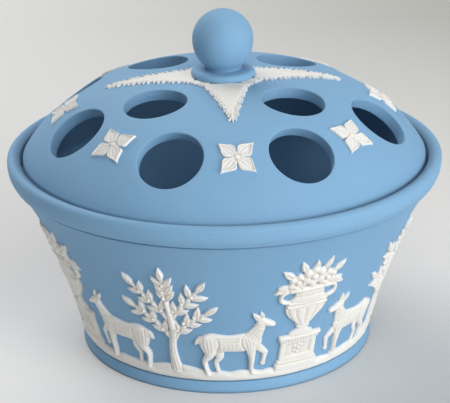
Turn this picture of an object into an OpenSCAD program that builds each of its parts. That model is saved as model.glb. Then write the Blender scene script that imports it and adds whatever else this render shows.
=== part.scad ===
// Covered bowl for potpourri in two-coloured stoneware: a flared bowl, a pierced dome lid with a
// ball knob, and white moulded sprigs laid on both. Millimetres, base on z = 0, axis on Z, front on -Y.

/* [Bowl] */
// Diameter across the rounded lip
rim_d = 164; // [156:0.5:176]
// Height from the table to the top of the lip
bowl_h = 76; // [72:0.5:82]
// Diameter of the foot
foot_d = 112; // [106:0.5:118]
// Height of the plain band of the foot
foot_h = 4.4; // [3.5:0.1:6]
// How far the foot stands out past the bottom of the wall
foot_step = 1.5; // [1:0.1:2.5]
// Width of the flat ring that the bowl stands on
foot_ring_w = 7; // [5:0.5:10]
// Depth of the hollow under the floor
foot_hollow = 2.4; // [1.5:0.1:3.4]
// Rounding of the two outer edges of the foot
foot_round = 0.7; // [0.3:0.1:1]
// Thickness of the floor
floor_t = 5.6; // [4:0.1:8]
// Radius in which the floor turns up into the wall
floor_bend = 9; // [6:0.5:12]
// Thickness of the wall
wall_t = 5; // [4:0.1:6.5]
// Lean of the wall just above the foot, in degrees from upright
wall_lean = 17; // [13:0.5:20]
// Length over which the wall keeps that lean
lean_run = 26; // [20:0.5:30]
// Flare of the wall just under the rim band, in degrees from upright
wall_flare = 38; // [32:0.5:42]
// Length over which the wall turns into that flare
flare_run = 20; // [14:0.5:24]

/* [Rim and gallery] */
// Height of the rim band, from its incised line to the top of the lip
rim_h = 8; // [7:0.1:9.5]
// How far the lip stands out past the incised line
rim_out = 3.1; // [2.4:0.1:3.8]
// Height over which the rim band turns out from the incised line
rim_turn = 2.6; // [2:0.1:3.4]
// Depth of the incised line
line_depth = 0.8; // [0.4:0.1:1.2]
// Radius of the lip
lip_r = 1.9; // [1.5:0.1:2.2]
// Fall of the rim's top from the lip to the gallery, in degrees
lip_fall = 22; // [16:0.5:28]
// Distance from the outside of the lip to the foot of the gallery's wall
gallery_in = 5.4; // [5:0.1:6]
// How far the gallery's wall leans out
gallery_lean = 0.5; // [0.2:0.1:0.9]
// Depth of the gallery below the top of the lip
gallery_depth = 6; // [5.2:0.1:7]
// Width of the ledge that carries the lid
ledge_w = 5; // [4:0.1:6]

/* [Lid] */
// Gap between the edge of the lid and the gallery's wall
lid_gap = 0.6; // [0.4:0.1:0.9]
// Thickness of the dome
lid_t = 4.8; // [4:0.1:5.5]
// Height of the upright edge
lid_edge_h = 5.2; // [4:0.1:6.5]
// Height of the crown above that edge
lid_rise = 29.3; // [26:0.1:34]
// Radius of the broad arc over the crown
crown_bend = 252; // [210:1:320]
// Distance from the axis at which the crown turns into the shoulder
crown_r = 35.6; // [32:0.1:40]
// Depth of the locating flange under the lid
flange_depth = 3.4; // [2.5:0.1:4.5]
// Thickness of the flange
flange_t = 3.5; // [3:0.1:4.5]
// Gap around and under the flange
flange_gap = 0.6; // [0.4:0.1:0.9]

/* [Piercing] */
// Number of holes and of florets in the outer ring
outer_holes = 8; // [6:1:8]
// Diameter of an outer hole
outer_hole_d = 24; // [19:0.5:25]
// Distance of the outer holes from the axis, at the surface
outer_ring_r = 60.2; // [58.5:0.1:61.5]
// Number of holes and of leaves in the inner ring
inner_holes = 4; // [3:1:4]
// Diameter of an inner hole
inner_hole_d = 23.6; // [18:0.5:24.5]
// Distance of the inner holes from the axis, at the surface
inner_ring_r = 35.2; // [34.5:0.1:36.5]
// Turn of the inner holes from halfway between the leaves, in degrees
inner_turn = -3.6; // [-6:0.2:6]

/* [Knob] */
// Diameter of the ball
knob_d = 22.7; // [20:0.1:26]
// Height of the ball's centre above the seat of the knob
knob_rise = 13.6; // [12.8:0.1:15]
// Diameter of the neck under the ball
neck_d = 13.4; // [11:0.1:15]
// Diameter of the collar
collar_d = 24; // [20:0.1:27]
// Height of the collar's rounded edge
collar_h = 2.8; // [2.2:0.1:3.4]

/* [Lid sprigs] */
// Relief of the sprigs on the lid
lid_relief = 1.3; // [0.8:0.1:2]
// Gap between a leaf and the collar
leaf_gap = 0.2; // [0.1:0.05:0.4]
// Distance from the axis to the tip of a leaf
leaf_tip_r = 44; // [40:0.5:48]
// Distance from the axis to the widest part of a leaf
leaf_root_r = 12.8; // [12:0.1:15]
// Width of a leaf where it is widest
leaf_w = 17.4; // [14:0.2:20]
// Width of a leaf across the last lobes before its tip
leaf_end_w = 2.2; // [1:0.1:4]
// Number of lobes along each edge of a leaf
leaf_lobes = 16; // [8:1:17]
// Depth of the cuts between the lobes
lobe_cut = 1.4; // [1:0.1:2.4]
// Width of a leaf's hem along the collar
leaf_hem = 1; // [0.6:0.1:1.4]
// Number of small lobes on the hem at each side of a leaf
fringe_lobes = 2; // [1:1:2]
// Length of a small lobe from the collar
fringe_len = 3.1; // [2.5:0.1:4]
// Width of a small lobe
fringe_w = 1.3; // [1:0.1:1.3]
// Turn of the outermost small lobe from the middle of its leaf, in degrees
fringe_turn = 41; // [40:0.1:41]
// Distance of the florets from the axis, at the surface
floret_ring_r = 59.4; // [58:0.1:62]
// Length of a petal from the middle of the floret
petal_len = 9.2; // [7:0.1:10]
// Width of a petal
petal_w = 6.6; // [4:0.1:6.8]
// Diameter of the floret's eye
eye_d = 3.2; // [2.4:0.1:4]

/* [Frieze] */
// Number of times the frieze repeats around the bowl
repeats = 4; // [3:1:4]
// Turn of the first urn from the front of the lid, in degrees
frieze_turn = 22; // [-40:1:40]
// Height of the white ground band above the foot
ground_h = 4.8; // [3:0.1:6]
// Relief of the ground band
ground_relief = 1.4; // [0.8:0.1:1.8]
// Relief of the urns, does and laurels
frieze_relief = 1.8; // [1:0.1:2.5]
// Height of an urn with its plinth and flowers
urn_h = 48; // [36:0.5:50]
// Height of a doe to the tips of its ears
doe_h = 27; // [20:0.5:28]
// Turn between an urn and the doe on each side of it, in degrees
doe_turn = 24.5; // [23.5:0.1:25]
// Height of a laurel
laurel_h = 47; // [46:0.5:49]

/* [Hidden] */
$fn = 64;
blue = "#84acd3";
white = "#efece6";
arc_steps = 8;
wall_steps = 18;
crown_steps = 4;
shoulder_steps = 26;
ball_steps = 28;
// How far a cutter runs past the face that it cuts
over = 3;

// Outside of the bowl
rim_r = rim_d / 2;
foot_r = foot_d / 2;
wall_foot = [foot_r - foot_step, foot_h];
line_z = bowl_h - rim_h;
line_r = rim_r - rim_out;
wall_top = [line_r - line_depth, line_z];
lip_c = [rim_r - lip_r, bowl_h - lip_r];
lip_end = lip_c + lip_r * [-sin(lip_fall), cos(lip_fall)];
rim_line = [for (t = [0:1 / arc_steps:1 - 1 / arc_steps])
    (1 - t) * (1 - t) * [line_r, line_z]
        + 2 * t * (1 - t) * [rim_r, line_z + rim_turn]
        + t * t * [rim_r, lip_c[1]]];
ground_z = foot_h + ground_h;

// Gallery and inside of the bowl
seat_z = bowl_h - gallery_depth;
gallery_r = rim_r - gallery_in;
brink_r = gallery_r + gallery_lean;
brink_z = lip_end[1] - (lip_end[0] - brink_r) * tan(lip_fall);
ledge_r = gallery_r - ledge_w;
throat_z = seat_z - flange_depth - flange_gap;
floor_z = foot_hollow + floor_t;
inner_foot_z = floor_z + floor_bend * (1 - sin(wall_lean));
inner_foot_r = wall_foot[0] + (inner_foot_z - foot_h) * tan(wall_lean) - wall_t / cos(wall_lean);
inner_foot = [inner_foot_r, inner_foot_z];
floor_c = inner_foot + floor_bend * [-cos(wall_lean), sin(wall_lean)];
inner_run = lean_run - (inner_foot_z - foot_h) / cos(wall_lean);

// Dome of the lid: a broad crown arc and a shoulder arc that meets it without a corner
lid_r = gallery_r - lid_gap;
edge = [lid_r, seat_z + lid_edge_h];
apex_z = edge[1] + lid_rise;
crown_c = [0, apex_z - crown_bend];
crown_end = asin(crown_r / crown_bend);
crown_normal = [sin(crown_end), cos(crown_end)];
crown_joint = crown_c + crown_bend * crown_normal;
to_edge = edge - crown_joint;
shoulder_bend = -(to_edge * to_edge) / (2 * crown_normal * to_edge);
shoulder_c = crown_joint - shoulder_bend * crown_normal;
edge_slope = slope_at(lid_r);
flange_r = ledge_r - flange_gap;
flange_in_r = flange_r - flange_t;
inside_slope = asin((flange_in_r - shoulder_c[0]) / (shoulder_bend - lid_t));

// Knob
knob_r = knob_d / 2;
neck_r = neck_d / 2;
collar_r = collar_d / 2;
collar_round = collar_h / 2;
seat_r = collar_r - collar_round;
seat_slope = asin(seat_r / crown_bend);
knob_z = crown_c[1] + crown_bend * cos(seat_slope);

function reverse(list) = [for (i = [len(list) - 1:-1:0]) list[i]];
function unit(v) = v / norm(v);
function upright(a) = [sin(a), cos(a)];
// Direction on the plan, turned from the front
function outward(turn) = [sin(turn), -cos(turn)];
function arc(c, r, from, to, steps = arc_steps) =
    [for (i = [0:steps]) let (a = from + (to - from) * i / steps) c + r * [cos(a), sin(a)]];
// Cubic curve between two points, with its lean and run at each end, set off sideways by out
function flare(p, lean, run, q, tilt, pull, out) =
    let (a = p + run * upright(lean), b = q - pull * upright(tilt))
    [for (i = [0:wall_steps])
        let (
            t = i / wall_steps,
            u = 1 - t,
            at = u * u * u * p + 3 * u * u * t * a + 3 * u * t * t * b + t * t * t * q,
            d = unit(u * u * (a - p) + 2 * u * t * (b - a) + t * t * (q - b))
        )
        at + out * [d[1], -d[0]]];
function wall_line(out) = flare(wall_foot, wall_lean, lean_run, wall_top, wall_flare, flare_run, out);

// Slope of the dome at a distance from the axis, and the point of the dome with a given slope
function slope_at(r) =
    r < crown_r ? asin(r / crown_bend) : asin((r - shoulder_c[0]) / shoulder_bend);
function dome_point(slope, out) =
    slope < crown_end
        ? crown_c + (crown_bend + out) * upright(slope)
        : shoulder_c + (shoulder_bend + out) * upright(slope);
function dome_line(out, from, to) = concat(
    [for (i = [0:crown_steps - 1]) dome_point(from + (crown_end - from) * i / crown_steps, out)],
    [for (i = [0:shoulder_steps]) dome_point(crown_end + (to - crown_end) * i / shoulder_steps, out)]
);

// Smooth line through points [x, y, half width]
function smooth(p, steps = 4) = concat(
    [for (i = [0:len(p) - 2])
        let (a = p[max(i - 1, 0)], b = p[i], c = p[i + 1], d = p[min(i + 2, len(p) - 1)])
        for (k = [0:steps - 1])
            let (t = k / steps)
            b + t * ((c - a) / 2 + t * (a - 2.5 * b + 2 * c - d / 2 + t * (3 * b - a - 3 * c + d) / 2))],
    [p[len(p) - 1]]
);
// Outline of a strip along such a line, with round ends
function strip(p) =
    let (
        s = smooth(p),
        last = len(s) - 1,
        at = [for (q = s) [q[0], q[1]]],
        along = [for (i = [0:last]) unit(at[min(i + 1, last)] - at[max(i - 1, 0)])],
        side = [for (i = [0:last]) s[i][2] * [-along[i][1], along[i][0]]],
        front = atan2(along[last][1], along[last][0]),
        back = atan2(along[0][1], along[0][0])
    )
    concat(
        [for (i = [0:last]) at[i] - side[i]],
        [for (a = [-45, 0, 45]) at[last] + s[last][2] * [cos(front + a), sin(front + a)]],
        [for (i = [last:-1:0]) at[i] + side[i]],
        [for (a = [135, 180, -135]) at[0] + s[0][2] * [cos(back + a), sin(back + a)]]
    );
// Outline of a pointed leaf along +X from the origin
function blade(length, width, steps = 5) = concat(
    [for (i = [0:steps]) let (s = i / steps) [length * s, -width / 2 * sin(180 * pow(s, 0.85))]],
    [for (i = [steps - 1:-1:1]) let (s = i / steps) [length * s, width / 2 * sin(180 * pow(s, 0.85))]]
);
// Outline of a floret's petal along +X, like a kite with full shoulders and a sharp tip
function petal(length, width) =
    let (
        base = [[0, 0.36, 0], [0.175, 0.49, 0], [0.27, 0.69, 0], [0.35, 0.89, 0]],
        tip = [[0.43, 1, 0], [0.52, 0.95, 0], [0.63, 0.72, 0], [0.8, 0.36, 0], [1, 0, 0]],
        line = smooth(concat(base, tip), 2)
    )
    concat(
        [for (p = line) [length * p[0], -width / 2 * p[1]]],
        [for (i = [len(line) - 2:-1:0]) [length * line[i][0], width / 2 * line[i][1]]]
    );

// White layer that follows the wall of the bowl or the dome of the lid
module wall_layer(relief) {
    rotate_extrude() polygon(concat(wall_line(0), reverse(wall_line(relief))));
}
module dome_layer(relief) {
    rotate_extrude()
        polygon(concat(
            dome_line(0, seat_slope, edge_slope),
            reverse(dome_line(relief, seat_slope, edge_slope))
        ));
}
// Frame on the dome: origin on the surface, Z square to it
module on_dome(r, turn) {
    slope = slope_at(r);
    rotate([0, 0, turn]) translate([0, -r, dome_point(slope, 0)[1]]) rotate([slope, 0, 0]) children();
}
// Flat outline of the frieze, its foot on y = 0, laid on the wall above the ground band
module on_wall(turn, relief) {
    intersection() {
        wall_layer(relief);
        rotate([0, 0, turn]) rotate([90, 0, 0]) linear_extrude(rim_r) translate([0, ground_z]) children();
    }
}
// What lies above the ground line
module above_ground() {
    intersection() {
        union() children();
        translate([-rim_r, 0]) square(rim_d);
    }
}
module leaf_at(p, turn, length, width) {
    translate(p) rotate(turn) polygon(blade(length, width));
}
module bowl() {
    color(blue) rotate_extrude()
        polygon(concat(
            [[0, foot_hollow], [foot_r - foot_ring_w, foot_hollow], [foot_r - foot_ring_w, 0]],
            arc([foot_r - foot_round, foot_round], foot_round, -90, 0, 4),
            arc([foot_r - foot_round, foot_h - foot_round], foot_round, 0, 90, 4),
            wall_line(0),
            rim_line,
            arc(lip_c, lip_r, 0, 90 + lip_fall, 2 * arc_steps),
            [[brink_r, brink_z], [gallery_r, seat_z], [ledge_r, seat_z]],
            reverse(flare(inner_foot, wall_lean, inner_run, [ledge_r, throat_z], wall_flare, flare_run, 0)),
            arc(floor_c, floor_bend, -wall_lean, -90),
            [[0, floor_z]]
        ));
}

module pierced_lid() {
    color(blue) difference() {
        rotate_extrude()
            polygon(concat(
                [[0, knob_z]],
                dome_line(0, seat_slope, edge_slope),
                [[lid_r, seat_z], [flange_r, seat_z], [flange_r, seat_z - flange_depth],
                    [flange_in_r, seat_z - flange_depth]],
                reverse(dome_line(-lid_t, 0, inside_slope))
            ));
        for (i = [1:outer_holes])
            on_dome(outer_ring_r, (i - 0.5) * 360 / outer_holes)
                translate([0, 0, -lid_t - over]) cylinder(d = outer_hole_d, h = lid_t + 2 * over);
        for (i = [1:inner_holes])
            on_dome(inner_ring_r, (i - 0.5) * 360 / inner_holes + inner_turn)
                translate([0, 0, -lid_t - over]) cylinder(d = inner_hole_d, h = lid_t + 2 * over);
    }
}

module ball_knob() {
    cove = [neck_r + (seat_r - neck_r) / 4, collar_h];
    color(blue) translate([0, 0, knob_z]) rotate_extrude()
        polygon(concat(
            [[0, 0]],
            arc([seat_r, collar_round], collar_round, -90, 90),
            [cove],
            arc([0, knob_rise], knob_r, -acos(neck_r / knob_r), 90, ball_steps)
        ));
}

module acanthus_leaf(i) {
    half = leaf_w / 2;
    length = leaf_tip_r - leaf_root_r;
    taper = 1 - leaf_end_w / leaf_w;
    lobe = length / leaf_lobes;
    root_turn = atan2(half - lobe_cut, leaf_root_r);
    fringe_step = (fringe_turn - root_turn) / fringe_lobes;
    hem_r = collar_r + leaf_gap + leaf_hem;
    hem = [for (k = [0:fringe_lobes]) hem_r * outward(fringe_turn - k * fringe_step)];
    edge_line = [for (k = [0:leaf_lobes - 1])
        let (wide = half * (1 - taper * k / leaf_lobes), y = leaf_root_r + k * lobe)
        each [[wide - lobe_cut * wide / half, -y], [wide, -y - 0.7 * lobe]]];
    right = concat([seat_r * outward(fringe_turn)], hem, edge_line);
    color(white) rotate([0, 0, (i - 1) * 360 / inner_holes]) difference() {
        intersection() {
            dome_layer(lid_relief);
            translate([0, 0, seat_z]) linear_extrude(apex_z) {
                polygon(concat([for (p = right) [-p[0], p[1]]], [[0, -leaf_tip_r]], reverse(right)));
                for (side = [-1, 1])
                    for (k = [0:fringe_lobes - 1])
                        rotate(side * (fringe_turn - k * fringe_step))
                            leaf_at([0, -collar_r], -90, fringe_len, fringe_w);
            }
        }
        translate([0, 0, seat_z]) cylinder(r = collar_r + leaf_gap, h = apex_z);
    }
}

module floret(i) {
    color(white) intersection() {
        dome_layer(lid_relief);
        on_dome(floret_ring_r, (i - 1) * 360 / outer_holes)
            translate([0, 0, -over]) linear_extrude(2 * over) {
                circle(d = eye_d);
                for (a = [45:90:315]) rotate(a) polygon(petal(petal_len, petal_w));
            }
    }
}

module ground_band() {
    color(white) intersection() {
        wall_layer(ground_relief);
        translate([0, 0, foot_h]) cylinder(r = rim_r, h = ground_h);
    }
}

module flower(p, r) {
    petal_r = 0.38 * r;
    translate(p) {
        circle(r = r - petal_r);
        for (a = [30:60:330]) rotate(a) translate([r - petal_r, 0]) circle(r = petal_r);
    }
}

module urn_outline() {
    vase = smooth([[2.4, 19.2, 0], [5.2, 21.4, 0], [7.7, 25, 0], [8, 28.6, 0], [6.4, 31.6, 0], [5.4, 33, 0]]);
    side = concat(
        [[8.5, 0], [8.5, 1.6], [7.3, 2.8], [7.3, 11.4], [8.4, 12.6], [8.4, 14]],
        [[4.8, 14], [4.8, 15], [2.2, 16.6], [1.7, 18]],
        [for (p = vase) [p[0], p[1]]],
        [[8, 34.8], [8, 36.2]]
    );
    polygon(concat(side, [for (p = reverse(side)) [-p[0], p[1]]]));
    flower([0, 40.6], 4.8);
    for (side = [-1, 1]) {
        handle = [[7.2, 29.6, 0.8], [10.4, 31.2, 0.8], [10.2, 34.4, 0.8], [7.6, 35.4, 0.8]];
        polygon(strip([for (p = handle) [side * p[0], p[1], p[2]]]));
        flower([side * 5.8, 38.6], 3.9);
        leaf_at([side * 8, 38], 90 - side * 118, 7, 3);
        leaf_at([side * 7.4, 40.6], 90 - side * 52, 6.6, 2.8);
        leaf_at([side * 3.4, 43], 90 - side * 28, 6, 2.6);
    }
    leaf_at([0, 43.4], 90, 4.6, 2.6);
}

module doe_outline() {
    above_ground() {
        polygon(strip([[-7.1, 13.1, 4.2], [-1.7, 12.9, 3.7], [3.9, 13.1, 4], [6.9, 13.6, 3.8]]));
        polygon(strip([[7.1, 14.2, 3.4], [9.4, 18.4, 2.3], [10.8, 21.7, 1.8]]));
        polygon(strip([[10.6, 22.4, 2], [12.8, 21.7, 1.4], [14.6, 20.8, 0.9]]));
        leaf_at([10.2, 23], 126, 4.4, 2);
        leaf_at([11, 23.4], 100, 3.7, 1.7);
        polygon(strip([[6.5, 11.5, 2.3], [7.1, 6.2, 1.2], [6.9, 1, 0.8], [7.3, -1, 1.1]]));
        polygon(strip([[8.4, 11.6, 1.9], [11.6, 8.2, 1.1], [11.2, 4, 0.8]]));
        polygon(strip([[-8, 12, 3.2], [-7.9, 7.4, 1.7], [-9.7, 4.8, 1], [-9, 1, 0.8], [-8.6, -1, 1.1]]));
        polygon(strip([[-5.4, 11, 2.5], [-4.3, 6.8, 1.4], [-5.6, 4.2, 0.9], [-5.1, 1, 0.8], [-4.8, -1, 1]]));
        leaf_at([-10.4, 15.6], 232, 4.6, 2.2);
    }
}

// Bough of laurel: a thin stem with leaves in pairs and one at its tip
module bough(p, pairs, length, width) {
    line = smooth(p, 8);
    last = len(line) - 1;
    polygon(strip(p));
    for (k = [1:pairs + 1]) {
        n = round(last * k / (pairs + 1));
        step = line[n] - line[n - 1];
        along = atan2(step[1], step[0]);
        at = [line[n][0], line[n][1]];
        if (k > pairs) leaf_at(at - 0.8 * unit([step[0], step[1]]), along, length, width);
        else for (side = [-1, 1]) leaf_at(at, along + side * 42, length, width);
    }
}

module laurel_outline() {
    mound_r = 26;
    mound_h = 2;
    above_ground() {
        translate([0, mound_h - mound_r]) circle(r = mound_r);
        bough([[0, -1, 2], [-0.7, 9, 1.3], [0.6, 20, 1.2], [0, 30, 1], [0, 41, 0.7]], 4, 6.4, 3);
        for (side = [-1, 1]) {
            low = [[0, 13, 1], [3.4, 18.6, 0.9], [8.4, 23.2, 0.8], [13, 26.4, 0.6]];
            high = [[0, 22, 1], [3.6, 27.6, 0.9], [8, 32.6, 0.8], [11.6, 37, 0.6]];
            bough([for (p = low) [side * p[0], p[1], p[2]]], 2, 6.4, 3);
            bough([for (p = high) [side * p[0], p[1], p[2]]], 2, 6.4, 3);
        }
    }
}

module urn(i) {
    drawn_h = 48;
    color(white) on_wall(frieze_turn + (i - 1) * 360 / repeats, frieze_relief)
        scale(urn_h / drawn_h) urn_outline();
}

module doe(i) {
    drawn_h = 27;
    side = i % 2 == 1 ? -1 : 1;
    pair = floor((i - 1) / 2);
    color(white) on_wall(frieze_turn + pair * 360 / repeats + side * doe_turn, frieze_relief)
        mirror([side > 0 ? 1 : 0, 0]) scale(doe_h / drawn_h) doe_outline();
}

module laurel(i) {
    drawn_h = 47;
    color(white) on_wall(frieze_turn + (i - 0.5) * 360 / repeats, frieze_relief)
        scale(laurel_h / drawn_h) laurel_outline();
}

bowl();
pierced_lid();
ball_knob();
ground_band();
for (i = [1:inner_holes]) acanthus_leaf(i);
for (i = [1:outer_holes]) floret(i);
for (i = [1:repeats]) urn(i);
for (i = [1:2 * repeats]) doe(i);
for (i = [1:repeats]) laurel(i);
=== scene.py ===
"""Covered potpourri bowl: turned blue stoneware with white moulded sprigs, dressed on its solid frame."""

import math

import bmesh
import bpy
import numpy as np
from mathutils import Matrix, Vector
from mathutils.geometry import delaunay_2d_cdt


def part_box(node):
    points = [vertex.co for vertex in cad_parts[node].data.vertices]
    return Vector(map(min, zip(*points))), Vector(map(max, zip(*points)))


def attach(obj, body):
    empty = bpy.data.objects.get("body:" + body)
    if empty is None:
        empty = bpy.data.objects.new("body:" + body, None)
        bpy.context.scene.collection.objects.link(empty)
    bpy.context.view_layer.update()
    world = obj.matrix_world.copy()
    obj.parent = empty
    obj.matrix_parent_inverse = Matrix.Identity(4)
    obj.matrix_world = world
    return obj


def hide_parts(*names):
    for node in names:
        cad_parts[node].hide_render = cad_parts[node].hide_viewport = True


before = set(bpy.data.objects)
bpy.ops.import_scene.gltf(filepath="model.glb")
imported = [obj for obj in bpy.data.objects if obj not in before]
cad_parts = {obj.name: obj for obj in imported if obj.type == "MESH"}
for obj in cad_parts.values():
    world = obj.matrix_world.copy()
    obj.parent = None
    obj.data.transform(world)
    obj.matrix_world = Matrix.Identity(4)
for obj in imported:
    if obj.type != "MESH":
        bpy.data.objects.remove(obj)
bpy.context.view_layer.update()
bowl_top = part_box("bowl")[1].z
knob_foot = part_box("ball_knob")[0].z

bl_info = {
    "name": "Covered potpourri bowl",
    "version": (1, 0, 0),
    "blender": (4, 5, 0),
    "location": "3D View > Sidebar > Potpourri bowl",
    "description": "Turned bowl, pierced lid, knob and moulded sprigs of a covered stoneware bowl",
    "category": "Object",
}

MM = 0.001
FULL_TURN = 2 * math.pi
LATHE = "Turned on a lathe"
RING = "Ring about the axis"

# How finely the forms are cut
WALL_STEPS = 96
BOWL_SEGMENTS = 288
KNOB_SEGMENTS = 128
QUARTER_STEPS = 72
HOLE_POINTS = 80
HOLE_EDGE_STEPS = 5
LID_SPACING = 1.4 * MM
GROUND_POINTS = 720
# Passes that bring a point onto the dome
DROP_PASSES = 8
# Points this close become one, shorter edges go, and so do smaller triangles of the lid
WELD = 0.002 * MM
SHORTEST = 0.0005 * MM
LEAST_AREA = (0.01 * MM) ** 2
# Points of the lid this close to its inside count as the underside
UNDER_SLACK = 0.05 * MM

# Stage, in metres: the sheet of paper, the soft boxes with their places and sizes, and where they point
PAPER_R = 4.0
PAPER_SEGMENTS = 96
PAPER_DROP = 0.02 * MM
LAMPS = (
    ("window", (0.85, -0.85, 0.25), 0.8),
    ("front", (0.0, -0.8, 1.0), 1.0),
    ("top", (-0.35, 0.75, 1.0), 1.0),
)
LAMP_AIM = Vector((0, 0, 0.06))
# Parts of the paper with painted shade: colour, then where each fades in from left to right and from start to
# end
SHADES = (
    # Painted shade: the paper darkens far behind the bowl, at its right
    ("floor_far_shade", -0.2, 0.174, 0.09, 0.442),
    # Painted shadow: the paper darkens in front of the bowl, at its right
    ("floor_near_shadow", -0.06, 0.04, 0.05, -0.04),
)
# Width of the camera's sensor, in millimetres
SENSOR = 36.0


def length(name, description, size):
    """A size of the bowl, given in millimetres."""
    return bpy.props.FloatProperty(
        name=name, description=description, default=size * MM, unit="LENGTH", precision=5)


def angle(name, description, degrees):
    """An angle, given in degrees."""
    return bpy.props.FloatProperty(
        name=name, description=description, default=math.radians(degrees), subtype="ANGLE")


def count(name, description, number):
    """How many times something repeats."""
    return bpy.props.IntProperty(name=name, description=description, default=number, min=1)


def scalar(name, description, value):
    """A plain number."""
    return bpy.props.FloatProperty(name=name, description=description, default=value)


def power(name, description, watts):
    """Power of a lamp, given in watts."""
    return bpy.props.FloatProperty(name=name, description=description, default=watts, min=0, unit="POWER")


def linear(code):
    """Linear colour of an sRGB hex value."""
    parts = [int(code[i:i + 2], 16) / 255 for i in (1, 3, 5)]
    return tuple(p / 12.92 if p <= 0.04045 else ((p + 0.055) / 1.055) ** 2.4 for p in parts) + (1.0,)


def colour(name, description, code):
    """A colour, given as an sRGB hex value."""
    return bpy.props.FloatVectorProperty(
        name=name, description=description, default=linear(code), size=4, subtype="COLOR")


class BowlSizes(bpy.types.PropertyGroup):
    """Sizes of the bowl."""
    rim_r: length("Rim radius", "Axis to the outside of the lip", 82)
    foot_r: length("Foot radius", "Axis to the outside of the foot", 56)
    foot_h: length("Foot height", "Height of the plain band of the foot", 4.4)
    foot_spread: length("Foot spread", "How far the foot's lower edge stands past the foot radius", 0.3)
    foot_lean: length("Foot lean", "How far the band of the foot leans out to its lower edge", 0.8)
    foot_swell: length("Foot swell", "How far the band of the foot swells", 0.15)
    foot_round: length("Foot edge", "Rounding of the foot's lower edge", 0.6)
    foot_ring: length("Foot ring", "Width of the flat ring that the bowl stands on", 7)
    hollow: length("Foot hollow", "Depth of the hollow under the floor", 2.4)
    floor_z: length("Floor", "Height of the floor inside", 8)
    floor_bend: length("Floor bend", "Radius in which the floor turns up into the wall", 9)
    wall_foot_r: length("Wall foot", "Axis to the bottom of the wall", 54.5)
    wall_top_r: length("Wall top", "Axis to the top of the wall", 79.5)
    line_z: length("Line", "Height of the incised line under the rim", 68)
    line_r: length("Line radius", "Axis to the rim band just above the incised line", 80.3)
    line_cut: length("Line cut", "Depth of the incised line", 0.45)
    # Painted shade: the incised line is darkened in place of the shadow under the rim band
    line_shade: scalar("Line shade", "Painted shade in the incised line", 0.3)
    # Painted shade: the groove above the foot is darkened in place of the shadow under the white band
    groove_shade: scalar("Groove shade", "Painted shade in the groove above the foot", 0.12)
    # Painted shade: the foot's lower edge is darkened in place of the contact shadow at the floor
    edge_shade: scalar("Edge shade", "Painted shade on the foot's lower edge, where it meets the floor", 0.7)
    shade_reach: length("Shade reach", "How far painted shade spreads from these three", 0.7)
    # Painted shade: the gallery darkens towards the gap round the lid
    rim_shade: scalar("Rim shade", "Painted shade on the brink of the gallery, towards the gap round the lid", 0.75)
    rim_shade_reach: length("Rim shade reach", "How far painted shade spreads from the gallery up to the lip", 2.2)
    rim_turn: length("Rim turn", "Height over which the rim band turns out", 2.4)
    lip_r: length("Lip", "Radius of the rounded lip", 1.9)
    lip_fall: angle("Lip fall", "Fall of the rim's top towards the gallery", 22)
    gallery_r: length("Gallery", "Axis to the foot of the gallery's wall", 76.6)
    gallery_lean: length("Gallery lean", "How far the gallery's wall leans out", 0.5)
    seat_z: length("Seat", "Height of the ledge that carries the lid", 70)
    ledge_r: length("Ledge", "Axis to the inner edge of the ledge", 71.6)
    throat_z: length("Throat", "Height where the wall inside meets the ledge", 66)
    wall_t: length("Wall", "Thickness of the wall", 5)
    lean: angle("Lean", "Lean of the wall above the foot", 11.7)
    flare: angle("Flare", "Flare of the wall under the rim", 35.7)
    lean_run: length("Lean run", "Length over which the wall keeps its lean", 26)
    flare_run: length("Flare run", "Length over which the wall turns into its flare", 13.2)


class LidSizes(bpy.types.PropertyGroup):
    """Sizes of the pierced lid and its knob."""
    lid_r: length("Lid radius", "Axis to the edge of the lid", 76)
    edge_z: length("Edge", "Height of the top of the upright edge", 75.2)
    apex_z: length("Crown", "Height of the crown", 104.5)
    crown_bend: length("Crown bend", "Radius of the broad arc over the crown", 252)
    crown_r: length("Crown radius", "Axis to where the crown turns into the shoulder", 35.6)
    dip: length("Dip", "How far the middle of the crown lies under its arc", 1.2)
    dip_r: length("Dip radius", "Axis to where the crown is back on its arc", 32)
    lid_t: length("Thickness", "Thickness of the dome", 4.4)
    seat_z: length("Seat", "Height of the lid's underside on the ledge", 70)
    flange_r: length("Flange", "Axis to the outside of the locating flange", 71)
    flange_in_r: length("Flange inside", "Axis to the inside of the locating flange", 67.5)
    flange_z: length("Flange end", "Height of the lower end of the flange", 66.6)
    outer_holes: count("Outer holes", "Holes in the outer ring", 8)
    outer_hole_r: length("Outer hole", "Radius of an outer hole", 11.85)
    outer_ring_r: length("Outer ring", "Axis to the middle of an outer hole", 60.2)
    inner_holes: count("Inner holes", "Holes in the inner ring", 4)
    inner_hole_r: length("Inner hole", "Radius of an inner hole", 11.6)
    inner_ring_r: length("Inner ring", "Axis to the middle of an inner hole", 35.2)
    inner_turn: angle("Inner turn", "Turn of the inner ring against the leaves", -3.6)
    hole_round: length("Hole edge", "Rounding of the edges of the holes", 0.4)
    knob_r: length("Ball", "Radius of the ball", 11.35)
    knob_rise: length("Ball height", "Height of the ball's middle above the collar's seat", 13.6)
    neck_r: length("Neck", "Radius of the neck under the ball", 7)
    collar_r: length("Collar", "Radius of the collar", 12)
    collar_h: length("Collar height", "Height of the collar's rounded edge", 3.3)
    seat_drop: length("Seat drop", "How far the dip lowers the knob's seat", 0.8)
    ball_length: scalar("Ball length", "Length of the ball's lower half against its radius", 1.1)
    # Painted shade: the neck under the ball is darkened
    neck_shade: scalar("Neck shade", "Painted shade round the neck of the knob, under the ball", 0.4)
    shade_reach: length("Shade reach", "How far painted shade spreads from the neck of the knob", 0.7)
    # Painted shade: darkens the underside of the lid
    underside_shade: scalar("Underside shade", "Painted shade on the underside of the lid", 0.5)


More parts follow.
